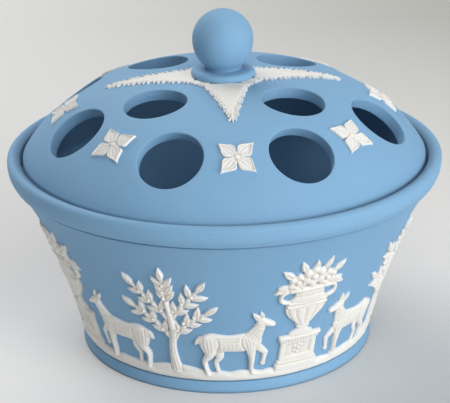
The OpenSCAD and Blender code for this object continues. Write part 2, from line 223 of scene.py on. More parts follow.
class SprigSizes(bpy.types.PropertyGroup):
    """Sizes of the moulded sprigs."""
    edge: length("Edge", "Height of a sprig at its outline", 0.4)
    sink: length("Bedding", "How far a sprig is pressed into its slip", 0.1)
    floret_ring_r: length("Floret ring", "Axis to the middle of a floret", 59.4)
    ground_h: length("Ground", "Height of the white ground band", 4.8)
    ground_relief: length("Ground relief", "Relief of the ground band", 1.4)
    ground_gap: length("Ground gap", "Fine groove between the foot and the ground band", 0.6)
    repeats: count("Repeats", "Times that the frieze repeats", 4)
    frieze_turn: angle("Frieze turn", "Turn of the first urn from the front", 22)
    doe_turn: angle("Doe turn", "Turn between an urn and each doe beside it", 24.5)


class Finish(bpy.types.PropertyGroup):
    """Colours of the two stonewares and the stage."""
    blue: colour("Blue", "Tinted body of bowl, lid and knob", "#80acce")
    blue_deep: colour("Deep blue", "Where the tint fired a little deeper", "#7aa5c8")
    # Painted shade: dark blue for the grooves, the foot's edge, the gallery, the knob's neck and the lid's
    # underside
    blue_painted_shade: colour("Painted shade blue", "Painted shade in the grooves, on the foot's edge, in the gallery, round the knob's neck and under the lid", "#41586c")
    white: colour("White", "Body of the sprigs", "#eae8e3")
    white_thin: colour("Thin white", "Where a thin sprig lets the blue through", "#d5dfe8")
    # Painted shade and a little dirt for the hollows of the sprigs
    white_crease_shade_and_dirt: colour("Crease shade and dirt", "Hollows of the sprigs: painted shade and a little dirt", "#d9d0c2")
    floor: colour("Floor", "Paper under the bowl", "#e8e7e6")
    # Painted shade for the paper far behind the bowl, at its right
    floor_far_shade: colour("Far floor shade", "Painted shade on the same paper far behind the bowl, at its right", "#c1c2bc")
    # Painted shadow for the paper in front of the bowl, at its right
    floor_near_shadow: colour("Near floor shadow", "Painted shadow on the same paper in front of the bowl, at its right", "#d8dada")
    backdrop: colour("Backdrop", "What shows above the floor", "#d6d6d4")


class StageSettings(bpy.types.PropertyGroup):
    """Camera and light."""
    lens: scalar("Lens", "Focal length in millimetres", 134.15)
    distance: length("Distance", "Camera to the axis, along the floor", 598.6)
    height: length("Height", "Camera above the floor", 291.9)
    aim: length("Aim", "Height of the point that the camera looks at", 53.1)
    turn: angle("Turn", "Camera's turn about the axis from the front", -4.2)
    roll: angle("Roll", "Camera's roll", -0.816)
    window: power("Window", "Low light at the right", 13.5)
    front: power("Front", "High light in front", 5.9)
    top: power("Top", "Light above and behind", 10.5)
    sky: scalar("Room light", "Strength of the light from all round", 0.12)


# Lines, arcs and surfaces of the turned bodies, in metres as (radius, height)

def upright(lean):
    """Direction that leans out from upright by an angle."""
    return np.array([math.sin(lean), math.cos(lean)])


def arc(centre, radius, start, end, steps=12):
    """Points of an arc, with its angles in degrees from +X."""
    a = np.radians(np.linspace(start, end, steps + 1))
    return np.array(centre) + radius * np.stack([np.cos(a), np.sin(a)], -1)


def bezier(points, steps):
    """Points of a quadratic or cubic curve."""
    t = np.linspace(0, 1, steps + 1)[:, None]
    n = len(points) - 1
    return sum(math.comb(n, k) * t ** k * (1 - t) ** (n - k) * np.array(p) for k, p in enumerate(points))


def rounded(corners, steps=5):
    """Line through corners (radius, height, rounding), with each corner turned in a short curve."""
    path = []
    last = len(corners) - 1
    for i, (r, z, cut) in enumerate(corners):
        here = np.array([r, z])
        if i in (0, last) or cut == 0:
            path.append(here[None])
            continue
        ways = [np.array(corners[k][:2]) - here for k in (i - 1, i + 1)]
        ends = [here + w / np.linalg.norm(w) * cut for w in ways]
        path.append(bezier([ends[0], here, ends[1]], steps))
    return np.concatenate(path)


class Wall:
    """Outside of the bowl's wall, a cubic line turned about the axis."""

    def __init__(self, s):
        foot = np.array([s.wall_foot_r, s.foot_h])
        top = np.array([s.wall_top_r, s.line_z])
        hold = [foot, foot + s.lean_run * upright(s.lean), top - s.flare_run * upright(s.flare), top]
        self.line = bezier(hold, WALL_STEPS)
        self.leans = np.arctan(np.gradient(self.line[:, 0], self.line[:, 1]))

    def lay(self, x, z, out):
        """Points straight out from the axis plane onto the wall's front, then out by a relief."""
        r = np.interp(z, self.line[:, 1], self.line[:, 0])
        lean = np.interp(z, self.line[:, 1], self.leans)
        back = np.sqrt(r * r - x * x)
        normal = np.stack([np.cos(lean) * x / r, -np.cos(lean) * back / r, -np.sin(lean)], -1)
        return np.stack([x, -back, z], -1) + out[..., None] * normal


class Dome:
    """Outside of the lid: a broad crown arc and a shoulder arc that meets it without a corner."""

    def __init__(self, s):
        edge = np.array([s.lid_r, s.edge_z])
        self.crown_bend = s.crown_bend
        self.crown = np.array([0, s.apex_z - s.crown_bend])
        self.turn = math.asin(s.crown_r / s.crown_bend)
        joint = self.crown + s.crown_bend * upright(self.turn)
        reach = edge - joint
        self.shoulder_bend = -(reach @ reach) / (2 * upright(self.turn) @ reach)
        self.shoulder = joint - self.shoulder_bend * upright(self.turn)
        self.crown_r = s.crown_r
        self.dip, self.dip_r = s.dip, s.dip_r

    def sunk(self, r):
        """How far the crown lies under its arc at a distance from the axis."""
        return self.dip * np.cos(math.pi / 2 * np.minimum(r / self.dip_r, 1)) ** 2

    def slope(self, r):
        """Slope of the dome at a distance from the axis."""
        if r < self.crown_r:
            return math.asin(r / self.crown_bend)
        return math.asin((r - self.shoulder[0]) / self.shoulder_bend)

    def height(self, r, out=0.0):
        """Height of the dome, or of a surface set off from it, at a distance from the axis."""
        crown = self.crown_bend + out
        shoulder = self.shoulder_bend + out
        joint = self.crown[0] + crown * math.sin(self.turn)
        on_crown = self.crown[1] + np.sqrt(np.maximum(crown ** 2 - r ** 2, 0))
        in_shoulder = np.maximum(shoulder ** 2 - (r - self.shoulder[0]) ** 2, 0)
        on_shoulder = self.shoulder[1] + np.sqrt(in_shoulder)
        return np.where(r < joint, on_crown, on_shoulder) - self.sunk(r)

    def away(self, p):
        """Distance of points from the dome, and the direction straight out from it."""
        r = np.hypot(p[..., 0], p[..., 1])
        flat = np.stack([r, p[..., 2]], -1)
        on_crown = np.arctan2(r, p[..., 2] - self.crown[1]) < self.turn
        arm = flat - np.where(on_crown[..., None], self.crown, self.shoulder)
        reach = np.linalg.norm(arm, axis=-1)
        arm = arm / reach[..., None]
        round_axis = p[..., :2] / np.maximum(r, 1e-9)[..., None]
        out = np.concatenate([arm[..., :1] * round_axis, arm[..., 1:]], -1)
        return reach - np.where(on_crown, self.crown_bend, self.shoulder_bend) + self.sunk(r), out

    def drop(self, p, axis, out=0.0):
        """Slides points along an axis onto the dome, or onto a surface set off from it."""
        for _ in range(DROP_PASSES):
            gap, normal = self.away(p)
            p = p - axis * ((gap - out) / (normal @ axis))[..., None]
        return p

    def lay(self, p, axis, out):
        """Slides points along an axis onto the dome, then lifts them straight out by a relief."""
        p = self.drop(p, axis)
        return p + out[:, None] * self.away(p)[1]

    def seat(self, r, turn):
        """Place on the dome: its middle, its two level directions and its normal."""
        slope = self.slope(r)
        spin = np.array(Matrix.Rotation(turn, 3, "Z"))
        middle = spin @ np.array([0, -r, float(self.height(r))])
        across = spin @ np.array([1.0, 0, 0])
        up = spin @ np.array([0, math.cos(slope), math.sin(slope)])
        return middle, across, up, np.cross(across, up)


# Nodes, meshes and the pieces' places in the frame

def fill(tree, node, sockets):
    """Links or fills sockets of a node."""
    for socket, value in sockets.items():
        if isinstance(value, bpy.types.NodeSocket):
            tree.links.new(value, node.inputs[socket])
        else:
            node.inputs[socket].default_value = value


def add(tree, kind, sockets=None, **settings):
    """Adds a node, sets it up, and links or fills its sockets."""
    node = tree.nodes.new(kind)
    for name, value in settings.items():
        setattr(node, name, value)
    fill(tree, node, sockets or {})
    return node


def calc(tree, operation, *values):
    """Result of a calculation with numbers or sockets."""
    return add(tree, "ShaderNodeMath", dict(enumerate(values)), operation=operation).outputs[0]


def new_tree(name, sockets):
    """Geometry node tree with its named inputs; returns it with its input and output nodes."""
    tree = bpy.data.node_groups.new(name, "GeometryNodeTree")
    for socket, kind in {"Geometry": "NodeSocketGeometry", **sockets}.items():
        tree.interface.new_socket(socket, in_out="INPUT", socket_type=kind)
    tree.interface.new_socket("Geometry", in_out="OUTPUT", socket_type="NodeSocketGeometry")
    return tree, tree.nodes.new("NodeGroupInput").outputs, tree.nodes.new("NodeGroupOutput").inputs


def end_tree(tree, geometry, finish, result):
    """Ends a tree: realizes, closes seams, shades smooth and sets the finish."""
    real = add(tree, "GeometryNodeRealizeInstances", {"Geometry": geometry})
    closed = add(tree, "GeometryNodeMergeByDistance", {"Geometry": real.outputs[0], "Distance": WELD})
    shaded = add(tree, "GeometryNodeSetShadeSmooth", {"Geometry": closed.outputs[0]})
    painted = add(tree, "GeometryNodeSetMaterial", {"Geometry": shaded.outputs[0], "Material": finish})
    tree.links.new(painted.outputs[0], result["Geometry"])
    return tree


def turned_tree():
    """Turns a line of points (radius, 0, height) about the axis, as on a lathe, with the painted shade on
    them.
    """
    tree, given, result = new_tree(LATHE, {"Segments": "NodeSocketInt", "Finish": "NodeSocketMaterial"})
    line = given["Geometry"]
    size = add(tree, "GeometryNodeAttributeDomainSize", {"Geometry": line}).outputs["Point Count"]
    columns = calc(tree, "ADD", given["Segments"], 1.0)
    grid = add(tree, "GeometryNodeMeshGrid", {"Vertices X": columns, "Vertices Y": size})
    index = add(tree, "GeometryNodeInputIndex").outputs[0]
    row = calc(tree, "MODULO", index, size)
    column = calc(tree, "FLOOR", calc(tree, "DIVIDE", index, size))
    turn = calc(tree, "MULTIPLY", calc(tree, "DIVIDE", column, given["Segments"]), FULL_TURN)

    def on_line(value, kind):
        """What the line carries at a point's row."""
        sockets = {"Geometry": line, "Value": value, "Index": row}
        return add(tree, "GeometryNodeSampleIndex", sockets, data_type=kind).outputs["Value"]

    point = on_line(add(tree, "GeometryNodeInputPosition").outputs[0], "FLOAT_VECTOR")
    spun = add(tree, "ShaderNodeVectorRotate", {"Vector": point, "Angle": turn}, rotation_type="Z_AXIS")
    shape = add(
        tree, "GeometryNodeSetPosition", {"Geometry": grid.outputs["Mesh"], "Position": spun.outputs[0]})
    soil = add(tree, "GeometryNodeInputNamedAttribute", {"Name": "soil"}, data_type="FLOAT").outputs[0]
    stored = add(
        tree, "GeometryNodeStoreNamedAttribute",
        {"Geometry": shape.outputs[0], "Name": "soil", "Value": on_line(soil, "FLOAT")}, data_type="FLOAT")
    return end_tree(tree, stored.outputs[0], given["Finish"], result)


def ring_tree():
    """Repeats a piece about the axis."""
    sockets = {"Count": "NodeSocketInt", "First turn": "NodeSocketFloat", "Finish": "NodeSocketMaterial"}
    tree, given, result = new_tree(RING, sockets)
    points = add(tree, "GeometryNodeMeshLine", {"Count": given["Count"], "Offset": (0.0, 0.0, 0.0)})
    index = add(tree, "GeometryNodeInputIndex").outputs[0]
    step = calc(tree, "DIVIDE", FULL_TURN, given["Count"])
    turn = calc(tree, "MULTIPLY_ADD", index, step, given["First turn"])
    spin = add(tree, "FunctionNodeAxisAngleToRotation", {"Axis": (0.0, 0.0, 1.0), "Angle": turn})
    copies = add(
        tree, "GeometryNodeInstanceOnPoints",
        {"Points": points.outputs[0], "Instance": given["Geometry"], "Rotation": spin.outputs[0]})
    return end_tree(tree, copies.outputs[0], given["Finish"], result)


def around(r, z, turns):
    """Points about the axis, turned from the front."""
    return np.stack([r * np.sin(turns), -r * np.cos(turns), np.broadcast_to(z, turns.shape)], -1)


def quads(rows, points, ring=True, loop=False):
    """Faces between rows of points; a ring closes each row, and a loop joins the last row to the first."""
    pairs = [(k * points, (k + 1) % rows * points) for k in range(rows if loop else rows - 1)]
    return [(low + i, low + (i + 1) % points, high + (i + 1) % points, high + i)
            for low, high in pairs for i in range(points if ring else points - 1)]


def new_mesh(name, points, faces=(), edges=(), **values):
    """Mesh of points in metres, with named values on its points."""
    mesh = bpy.data.meshes.new(name)
    mesh.from_pydata([tuple(p) for p in points], list(edges), [tuple(f) for f in faces])
    for attribute, data in values.items():
        mesh.attributes.new(attribute, "FLOAT", "POINT").data.foreach_set("value", data.astype(np.float32))
    return mesh


def grow(name, mesh, tree, **inputs):
    """Object whose plain mesh is what a tree makes of a mesh, with its faces turned outwards."""
    piece = bpy.data.objects.new(name, mesh)
    bpy.context.scene.collection.objects.link(piece)
    modifier = piece.modifiers.new(tree.name, "NODES")
    modifier.node_group = tree
    for socket in tree.interface.items_tree:
        if socket.in_out == "INPUT" and socket.name in inputs:
            modifier[socket.identifier] = inputs[socket.name]
    graph = bpy.context.evaluated_depsgraph_get()
    plain = bpy.data.meshes.new_from_object(piece.evaluated_get(graph))
    piece.modifiers.remove(modifier)
    piece.data = plain
    shell = bmesh.new()
    shell.from_mesh(plain)
    bmesh.ops.dissolve_degenerate(shell, dist=SHORTEST, edges=shell.edges)
    bmesh.ops.delete(shell, geom=[v for v in shell.verts if not v.link_faces], context="VERTS")
    bmesh.ops.recalc_face_normals(shell, faces=shell.faces)
    shell.to_mesh(plain)
    shell.free()
    return piece


def place(piece, body, nodes):
    """Sets a piece in the frame: the body it moves with and the nodes that it stands for."""
    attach(piece, body)
    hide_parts(*nodes)


def numbered(name, number):
    """Names of the nodes of a group."""
    return [f"{name}_{i + 1}" for i in range(number)]


# Finishes

def surface(name):
    """New material with a shader; returns it with its tree, shader and object coordinates."""
    material = bpy.data.materials.new(name)
    material.use_nodes = True
    tree = material.node_tree
    tree.nodes.clear()
    shader = add(tree, "ShaderNodeBsdfPrincipled")
    add(tree, "ShaderNodeOutputMaterial", {"Surface": shader.outputs[0]})
    return material, tree, shader, add(tree, "ShaderNodeTexCoord").outputs["Object"]


def noise(tree, spot, size, detail):
    """Noise whose features have a size."""
    return add(tree, "ShaderNodeTexNoise", {"Vector": spot, "Scale": 1 / size, "Detail": detail}).outputs[0]


def ramp(tree, value, start, end, low=0.0, high=1.0):
    """A value carried over from start and end to low and high."""
    return add(tree, "ShaderNodeMapRange", dict(enumerate((value, start, end, low, high)))).outputs[0]


def blend(tree, share, first, second, way="MIX"):
    """Two colours mixed, or multiplied."""
    sockets = {0: share, 6: first, 7: second}
    return add(tree, "ShaderNodeMix", sockets, data_type="RGBA", blend_type=way).outputs[2]


def carried(tree, name):
    """Value that the points of a piece carry."""
    return add(tree, "ShaderNodeAttribute", attribute_name=name).outputs["Fac"]


def blue_stoneware(finish):
    """Tinted stoneware, thrown, turned on a lathe and fired without glaze.
    It gives the eye a dry even blue, a pale bloom at grazing angles, faint tool rings and a fine grain."""
    material, tree, shader, spot = surface("Blue unglazed stoneware")
    split = add(tree, "ShaderNodeSeparateXYZ", {0: spot}).outputs
    flat = add(tree, "ShaderNodeCombineXYZ", {0: split[0], 1: split[1]}).outputs[0]
    radius = add(tree, "ShaderNodeVectorMath", {0: flat}, operation="LENGTH").outputs["Value"]
    profile = add(tree, "ShaderNodeCombineXYZ", {0: radius, 1: split[2]}).outputs[0]
    # Clouds in the tint, about 30 mm across
    cloud = noise(tree, spot, 30 * MM, 3.0)
    # Grain of the clay: real grit is under 0.1 mm, drawn at 0.5 mm so that it shows
    grain = noise(tree, spot, 0.5 * MM, 2.0)
    # Rings left by the turning tool, about 1.1 mm apart
    rings = noise(tree, profile, 1.1 * MM, 1.0)
    tint = blend(tree, cloud, finish.blue, finish.blue_deep)
    body = blend(tree, 1.0, tint, ramp(tree, grain, 0.3, 0.7, 0.97, 1.03), "MULTIPLY")
    worked = calc(tree, "MULTIPLY_ADD", rings, 1.2, grain)
    bump = add(tree, "ShaderNodeBump", {"Height": worked, "Distance": 0.09 * MM, "Strength": 0.5})
    # Painted shade: the blue darkens in the grooves, on the foot's edge, in the gallery, round the knob's
    # neck and under the lid
    fill(tree, shader, {
        "Base Color": blend(tree, carried(tree, "soil"), body, finish.blue_painted_shade),
        "Roughness": ramp(tree, grain, 0.3, 0.7, 0.66, 0.78), "Normal": bump.outputs[0],
        "IOR": 1.48, "Specular IOR Level": 0.35, "Sheen Weight": 0.03, "Sheen Roughness": 0.45})
    return material


def white_stoneware(finish):
    """White stoneware, pressed in a mould and stuck on with slip.
    It gives the eye a chalky white with painted shade and a little dirt in its hollows, and turns bluish
    where it is thin."""
    material, tree, shader, spot = surface("White moulded stoneware")
    # Grain of the pressed clay, drawn at 0.4 mm so that it shows
    grain = noise(tree, spot, 0.4 * MM, 2.0)
    thin = ramp(tree, carried(tree, "relief"), 0.35 * MM, 0.9 * MM, 0.7, 0.0)
    body = blend(tree, thin, finish.white, finish.white_thin)
    bump = add(tree, "ShaderNodeBump", {"Height": grain, "Distance": 0.05 * MM, "Strength": 0.25})
    # Painted shade and a little dirt: the hollows turn a warm grey
    fill(tree, shader, {
        "Base Color": blend(tree, carried(tree, "crease"), body, finish.white_crease_shade_and_dirt),
        "Roughness": ramp(tree, grain, 0.3, 0.7, 0.6, 0.72), "Normal": bump.outputs[0],
        "IOR": 1.5, "Specular IOR Level": 0.3, "Sheen Weight": 0.02})
    return material


def seen_rays(tree):
    """1 for rays that show something to the camera: straight, in a gloss or through glass."""
    path = add(tree, "ShaderNodeLightPath").outputs
    shown = calc(tree, "MAXIMUM", path["Is Camera Ray"], path["Is Glossy Ray"])
    return calc(tree, "MAXIMUM", shown, path["Is Transmission Ray"])


def matte_paper(finish):
    """Sheet of paper under the bowl.
    It gives the eye a plain pale ground that takes the shadow, with painted shade that makes two parts a
    little darker."""
    material, tree, shader, spot = surface("Matte paper")
    split = add(tree, "ShaderNodeSeparateXYZ", {0: spot}).outputs
    tone = finish.floor
    for shade, left, right, start, end in SHADES:
        share = calc(tree, "MULTIPLY", ramp(tree, split[0], left, right), ramp(tree, split[1], start, end))
        tone = blend(tree, share, tone, getattr(finish, shade))
    fill(tree, shader, {"Base Color": tone, "Roughness": 0.9, "Specular IOR Level": 0.1})
    # Painted light: seen straight or in a gloss, the paper glows a little in its pale tone, which lightens
    # the shadow near the bowl, and glows more far off
    seen = add(tree, "ShaderNodeEmission", {"Color": tone, "Strength": 1.0})
    away = add(tree, "ShaderNodeVectorMath", {0: spot}, operation="LENGTH").outputs["Value"]
    glow_share = calc(tree, "MULTIPLY", seen_rays(tree), ramp(tree, away, 0.5, 1.5, 0.1, 0.9))
    mix = add(tree, "ShaderNodeMixShader", {0: glow_share, 1: shader.outputs[0], 2: seen.outputs[0]})
    add(tree, "ShaderNodeOutputMaterial", {"Surface": mix.outputs[0]}).is_active_output = True
    return material


FINISHES = {
    "blue_stoneware": ("Blue unglazed stoneware", blue_stoneware),
    "white_stoneware": ("White moulded stoneware", white_stoneware),
}


# Moulded sprigs: drawings in millimetres, cut from a height map

def smooth(points, steps=6):
    """Smooth line through points, with whatever they carry."""
    p = np.array(points, float)
    p = np.concatenate([p[:1], p, p[-1:]])
    t = np.arange(steps)[:, None] / steps
    path = [b + t * ((c - a) / 2 + t * (a - 2.5 * b + 2 * c - d / 2 + t * (3 * b - a - 3 * c + d) / 2))
            for a, b, c, d in zip(p, p[1:], p[2:], p[3:])]
    return np.concatenate(path + [p[-1:]])


def swell(share):
    """Round section of a form: 0 at its outline, 1 in its middle."""
    share = np.clip(share, 0, 1)
    return np.sqrt(share * (2 - share))


def blurred(high, times):
    """Height map with each point drawn to the mean of its neighbours, a number of times."""
    for _ in range(times):
        edged = np.pad(high, 1, mode="edge")
        high = (edged[:-2, 1:-1] + edged[2:, 1:-1] + edged[1:-1, :-2] + edged[1:-1, 2:]) / 4
    return high


# Half width of a petal from its root to its tip, as shares of its length and of its greatest half width
PETAL = (
    (0, 0.3), (0.1, 0.36), (0.175, 0.49), (0.27, 0.69), (0.35, 0.89), (0.43, 1.0), (0.52, 0.95), (0.63, 0.72),
    (0.8, 0.36), (1, 0))


class Relief:
    """Height map of one sprig, from which its mesh is cut."""

    # Half widths of the line cut round a form, of an engraved stroke and of a midrib
    trench_w = 0.7
    stroke_w = 0.3
    rib_w = 0.28
    # Distance between the side veins of a leaf, and how they fade to its outline
    vein_pitch = 1.1
    vein_fade = 0.4
    # Raised border of a petal: how far inside its outline, and its half width
    border_in = 0.32
    border_w = 0.24
    # Fine creases and broad hollows, which carry painted shade and a little dirt: how often the map is
    # blurred to find them, and their full depth
    creases = ((3, 0.16), (30, 0.5))

    def __init__(self, low, high, pitch, edge):
        across = np.arange(low[0], high[0] + pitch, pitch)
        up = np.arange(low[1], high[1] + pitch, pitch)
        self.x, self.y = np.meshgrid(across, up)
        self.pitch, self.edge = pitch, edge
        self.inside = np.full(self.x.shape, -9.0)
        self.high = np.zeros(self.x.shape)

    def lay(self, inside, high, trench=0.0):
        """Adds a form: how far points lie inside its outline, its height, and the line cut round it."""
        beside = np.where(inside < 0, np.clip(1 + inside / self.trench_w, 0, 1), 0)
        self.high = np.maximum(self.high - trench * beside, 0)
        self.high = np.where(inside > 0, np.maximum(self.high, high), self.high)
        self.inside = np.maximum(self.inside, inside)

    def along(self, line):
        """How far points lie inside a strip along a smooth line of (x, y, half width), and its half width."""
        path = smooth(line)
        inside = np.full(self.x.shape, -99.0)
        width = np.ones(self.x.shape)
        for a, b in zip(path[:-1], path[1:]):
            run = b - a
            square = max(run[0] ** 2 + run[1] ** 2, 1e-9)
            t = np.clip(((self.x - a[0]) * run[0] + (self.y - a[1]) * run[1]) / square, 0, 1)
            wide = a[2] + t * run[2]
            depth = wide - np.hypot(self.x - a[0] - t * run[0], self.y - a[1] - t * run[1])
            nearer = depth > inside
            inside = np.where(nearer, depth, inside)
            width = np.where(nearer, wide, width)
        return inside, width

    def roll(self, line, lift, trench=0.0):
        """Rounded strip along a smooth line of (x, y, half width)."""
        inside, width = self.along(line)
        self.lay(inside, self.edge + (lift - self.edge) * swell(inside / width), trench)

    def bead(self, at, radius, lift, trench=0.0):
        """Round boss."""
        inside = radius - np.hypot(self.x - at[0], self.y - at[1])
        self.lay(inside, self.edge + (lift - self.edge) * swell(inside / radius), trench)

    def carve(self, line, depth):
        """Groove along a smooth line of (x, y, half width)."""
        inside, width = self.along(line)
        self.high -= depth * np.clip(inside / width, 0, 1)

    def comb(self, line, shares, depth):
        """Fine strokes along a strip of (x, y, half width), each at a share of its half width to one side."""
        p = np.array(line, float)
        way = np.gradient(p[:, :2], axis=0)
        way /= np.linalg.norm(way, axis=1)[:, None]
        side = np.stack([-way[:, 1], way[:, 0]], -1)
        for share in shares:
            self.carve([(*q, self.stroke_w) for q in p[:, :2] + share * p[:, 2:] * side], depth)

    def leaf(self, at, turn, size, wide, lift, vein=0.35):
        """Pointed leaf with two full halves, a sunk midrib and faint side veins."""
        a = math.radians(turn)
        s = ((self.x - at[0]) * math.cos(a) + (self.y - at[1]) * math.sin(a)) / size
        v = (self.y - at[1]) * math.cos(a) - (self.x - at[0]) * math.sin(a)
        on = np.clip(s, 0, 1)
        half = wide / 2 * np.sin(np.pi * on ** 0.85)
        beyond = np.abs(s - on) * size
        inside = np.where(beyond > 0, -np.hypot(beyond, v), half - np.abs(v))
        full = swell(1 - np.abs(v) / np.maximum(half, 0.05))
        rib = vein * np.exp(-(v / self.rib_w) ** 2) * np.clip(on * 6, 0, 1)
        waves = np.cos(FULL_TURN * (on * size - 0.8 * np.abs(v)) / self.vein_pitch)
        side_veins = 0.3 * vein * waves * np.clip(inside / self.vein_fade, 0, 1)
        self.lay(inside, self.edge + (lift - self.edge) * full - rib - side_veins, trench=0.35)

    def petal(self, turn, size, wide, lift):
        """Petal like a kite: a sharp tip, full shoulders, a raised border and a dished face."""
        a = math.radians(turn)
        on = (self.x * math.cos(a) + self.y * math.sin(a)) / size
        v = np.abs(self.y * math.cos(a) - self.x * math.sin(a))
        outline = smooth(PETAL)
        half = wide / 2 * np.interp(on, outline[:, 0], outline[:, 1], left=-1, right=-1)
        # Square to its slanting sides the outline is nearer than across the petal
        inside = 0.78 * (half - v)
        border = np.exp(-((inside - self.border_in) / self.border_w) ** 2)
        border *= np.clip((on - 0.1) / 0.25, 0.3, 1)
        across = np.clip(v / np.maximum(half, 0.1), 0, 1)
        veins = (0.5 + 0.5 * np.cos(FULL_TURN * 2 * across)) * np.clip(2.4 - 3 * on, 0, 1)
        dish = 0.15 + 0.3 * across ** 2 + 0.35 * veins + 0.3 * np.clip(1 - 3 * on, 0, 1)
        share = np.clip(np.maximum(dish, border), 0, 1)
        self.lay(inside, self.edge + (lift - self.edge) * share, trench=0.5)

    def flower(self, at, radius, lift):
        """Six round petals about an eye."""
        for k in range(6):
            a = math.radians(30 + 60 * k)
            centre = (at[0] + 0.6 * radius * math.cos(a), at[1] + 0.6 * radius * math.sin(a))
            self.bead(centre, 0.4 * radius, lift, trench=0.25)
            self.carve([(*at, 0.3), (*centre, 0.3)], 0.3)
        self.bead(at, 0.3 * radius, lift + 0.3, trench=0.4)

    def cut(self):
        """Points (x, y, height), faces and crease of the form, its border drawn onto the outline."""
        keep = np.pad(self.inside > -0.5 * self.pitch, 1)
        around = np.ones(self.x.shape, bool)
        for row in range(3):
            for column in range(3):
                around &= keep[row:row + self.x.shape[0], column:column + self.x.shape[1]]
        keep = keep[1:-1, 1:-1]
        border = keep & ~around
        up, across = np.gradient(self.inside, self.pitch)
        step = np.clip(self.inside / np.maximum(up ** 2 + across ** 2, 0.3), -self.pitch, self.pitch) * border
        high = np.where(border, self.edge, np.maximum(self.high, 0.7 * self.edge))
        # The hollows found here take painted shade and a little dirt
        fine, broad = (np.clip((blurred(high, n) - high) / depth, 0, 1) for n, depth in self.creases)
        crease = np.clip(fine + broad, 0, 1) * ~border
        number = np.full(self.x.shape, -1)
        number[keep] = np.arange(keep.sum())
        corners = [number[:-1, :-1], number[:-1, 1:], number[1:, 1:], number[1:, :-1]]
        corners = np.stack(corners, -1).reshape(-1, 4)
        there = (corners >= 0).sum(1)
        faces = [tuple(c) for c in corners[there == 4]]
        faces += [tuple(c[c >= 0]) for c in corners[there == 3]]
        points = np.stack([self.x - step * across, self.y - step * up, high], -1)[keep]
        return points, faces, crease[keep]


def sprig_mesh(name, relief, lay, sink):
    """Closed mesh of a sprig: its face, the same grid as its back, and the edge between them."""
    points, faces, crease = relief.cut()
    total = len(points)
    edges = {(f[k - 1], f[k]) for f in faces for k in range(len(f))}
    rim = [(b, a, a + total, b + total) for a, b in edges if (b, a) not in edges]
    back = [tuple(i + total for i in reversed(f)) for f in faces]
    x, y, high = points.T * MM
    front = lay(x, y, high)
    behind = lay(x, y, np.full(total, -sink))
    return new_mesh(
        name, np.concatenate([front, behind]), faces + back + rim,
        relief=np.concatenate([high, np.zeros(total)]), crease=np.concatenate([crease, np.zeros(total)]))


def mirrored(path):
    """A line of (x, y, ...) and its mirror image."""
    return [[(side * p[0], *p[1:]) for p in path] for side in (-1, 1)]


def draw_floret(edge):
    """Four pointed petals about a small eye."""
    relief = Relief((-9, -9), (9, 9), 0.17, edge)
    for turn in (45, 135, 225, 315):
        relief.petal(turn, 8.8, 5.9, 1.1)
    relief.bead((0, 0), 0.9, 1.1, trench=0.25)
    return relief


def draw_acanthus(edge):
    """Long leaf from the collar: a plain blade with a fringe of narrow lobes down both sides."""
    root, tip, half, blunt, lobes = 12.6, 43.8, 8.4, 1.1, 17
    relief = Relief((-12, 7), (12, 45), 0.18, edge)
    pitch = (tip - root) / lobes
    # Fringe on the collar, up to the leaves on either side
    for turn in (41.5, 37, 32.5):
        for side in (-1, 1):
            way = upright(math.radians(side * turn))
            relief.roll([(*(11.5 * way), 0.62), (*(14.9 * way), 0.42)], 0.95, trench=0.25)
    # Lobes, square to the leaf at the collar and nearly in line with it at its tip, none quite alike
    for k in range(lobes):
        share = (k + 0.5) / lobes
        for side in (-1, 1):
            uneven = math.sin(4.1 * k + side)
            wide = half + (blunt - half) * share + 0.25 * uneven
            turn = math.radians(62 - 36 * share ** 2 + 8 * uneven)
            end = np.array([side * wide, root + (k + 0.55 + 0.15 * uneven) * pitch])
            start = end - (3.2 - share) * upright(side * turn)
            relief.roll([(*start, 0.5), (*((start + end) / 2), 0.5), (*end, 0.24)], 1.05, trench=0.5)
    # Fingers at the tip
    for turn, reach in ((-22, 2.8), (22, 2.8), (0, 3.7)):
        start = np.array([0, tip - 3.6])
        end = start + reach * upright(math.radians(turn))
        relief.roll([(*start, 0.5), (*end, 0.2)], 1.05, trench=0.3)
    # Blade, with a low midrib and barbs that run out into the lobes
    inside = half - 1.2 + (blunt - half) * (relief.y - root) / (tip - 2.5 - root) - np.abs(relief.x)
    inside = np.minimum(inside, relief.y - 10.8)
    barbs = 0.5 + 0.5 * np.cos(FULL_TURN * (relief.y - root - 0.55 * np.abs(relief.x)) / pitch)
    relief.lay(inside, edge + (0.46 + 0.12 * barbs) * swell(inside / 1.3))
    relief.roll([(0, 10.5, 0.8), (0, 25, 0.7), (0, 41.5, 0.4)], 0.98)
    return relief


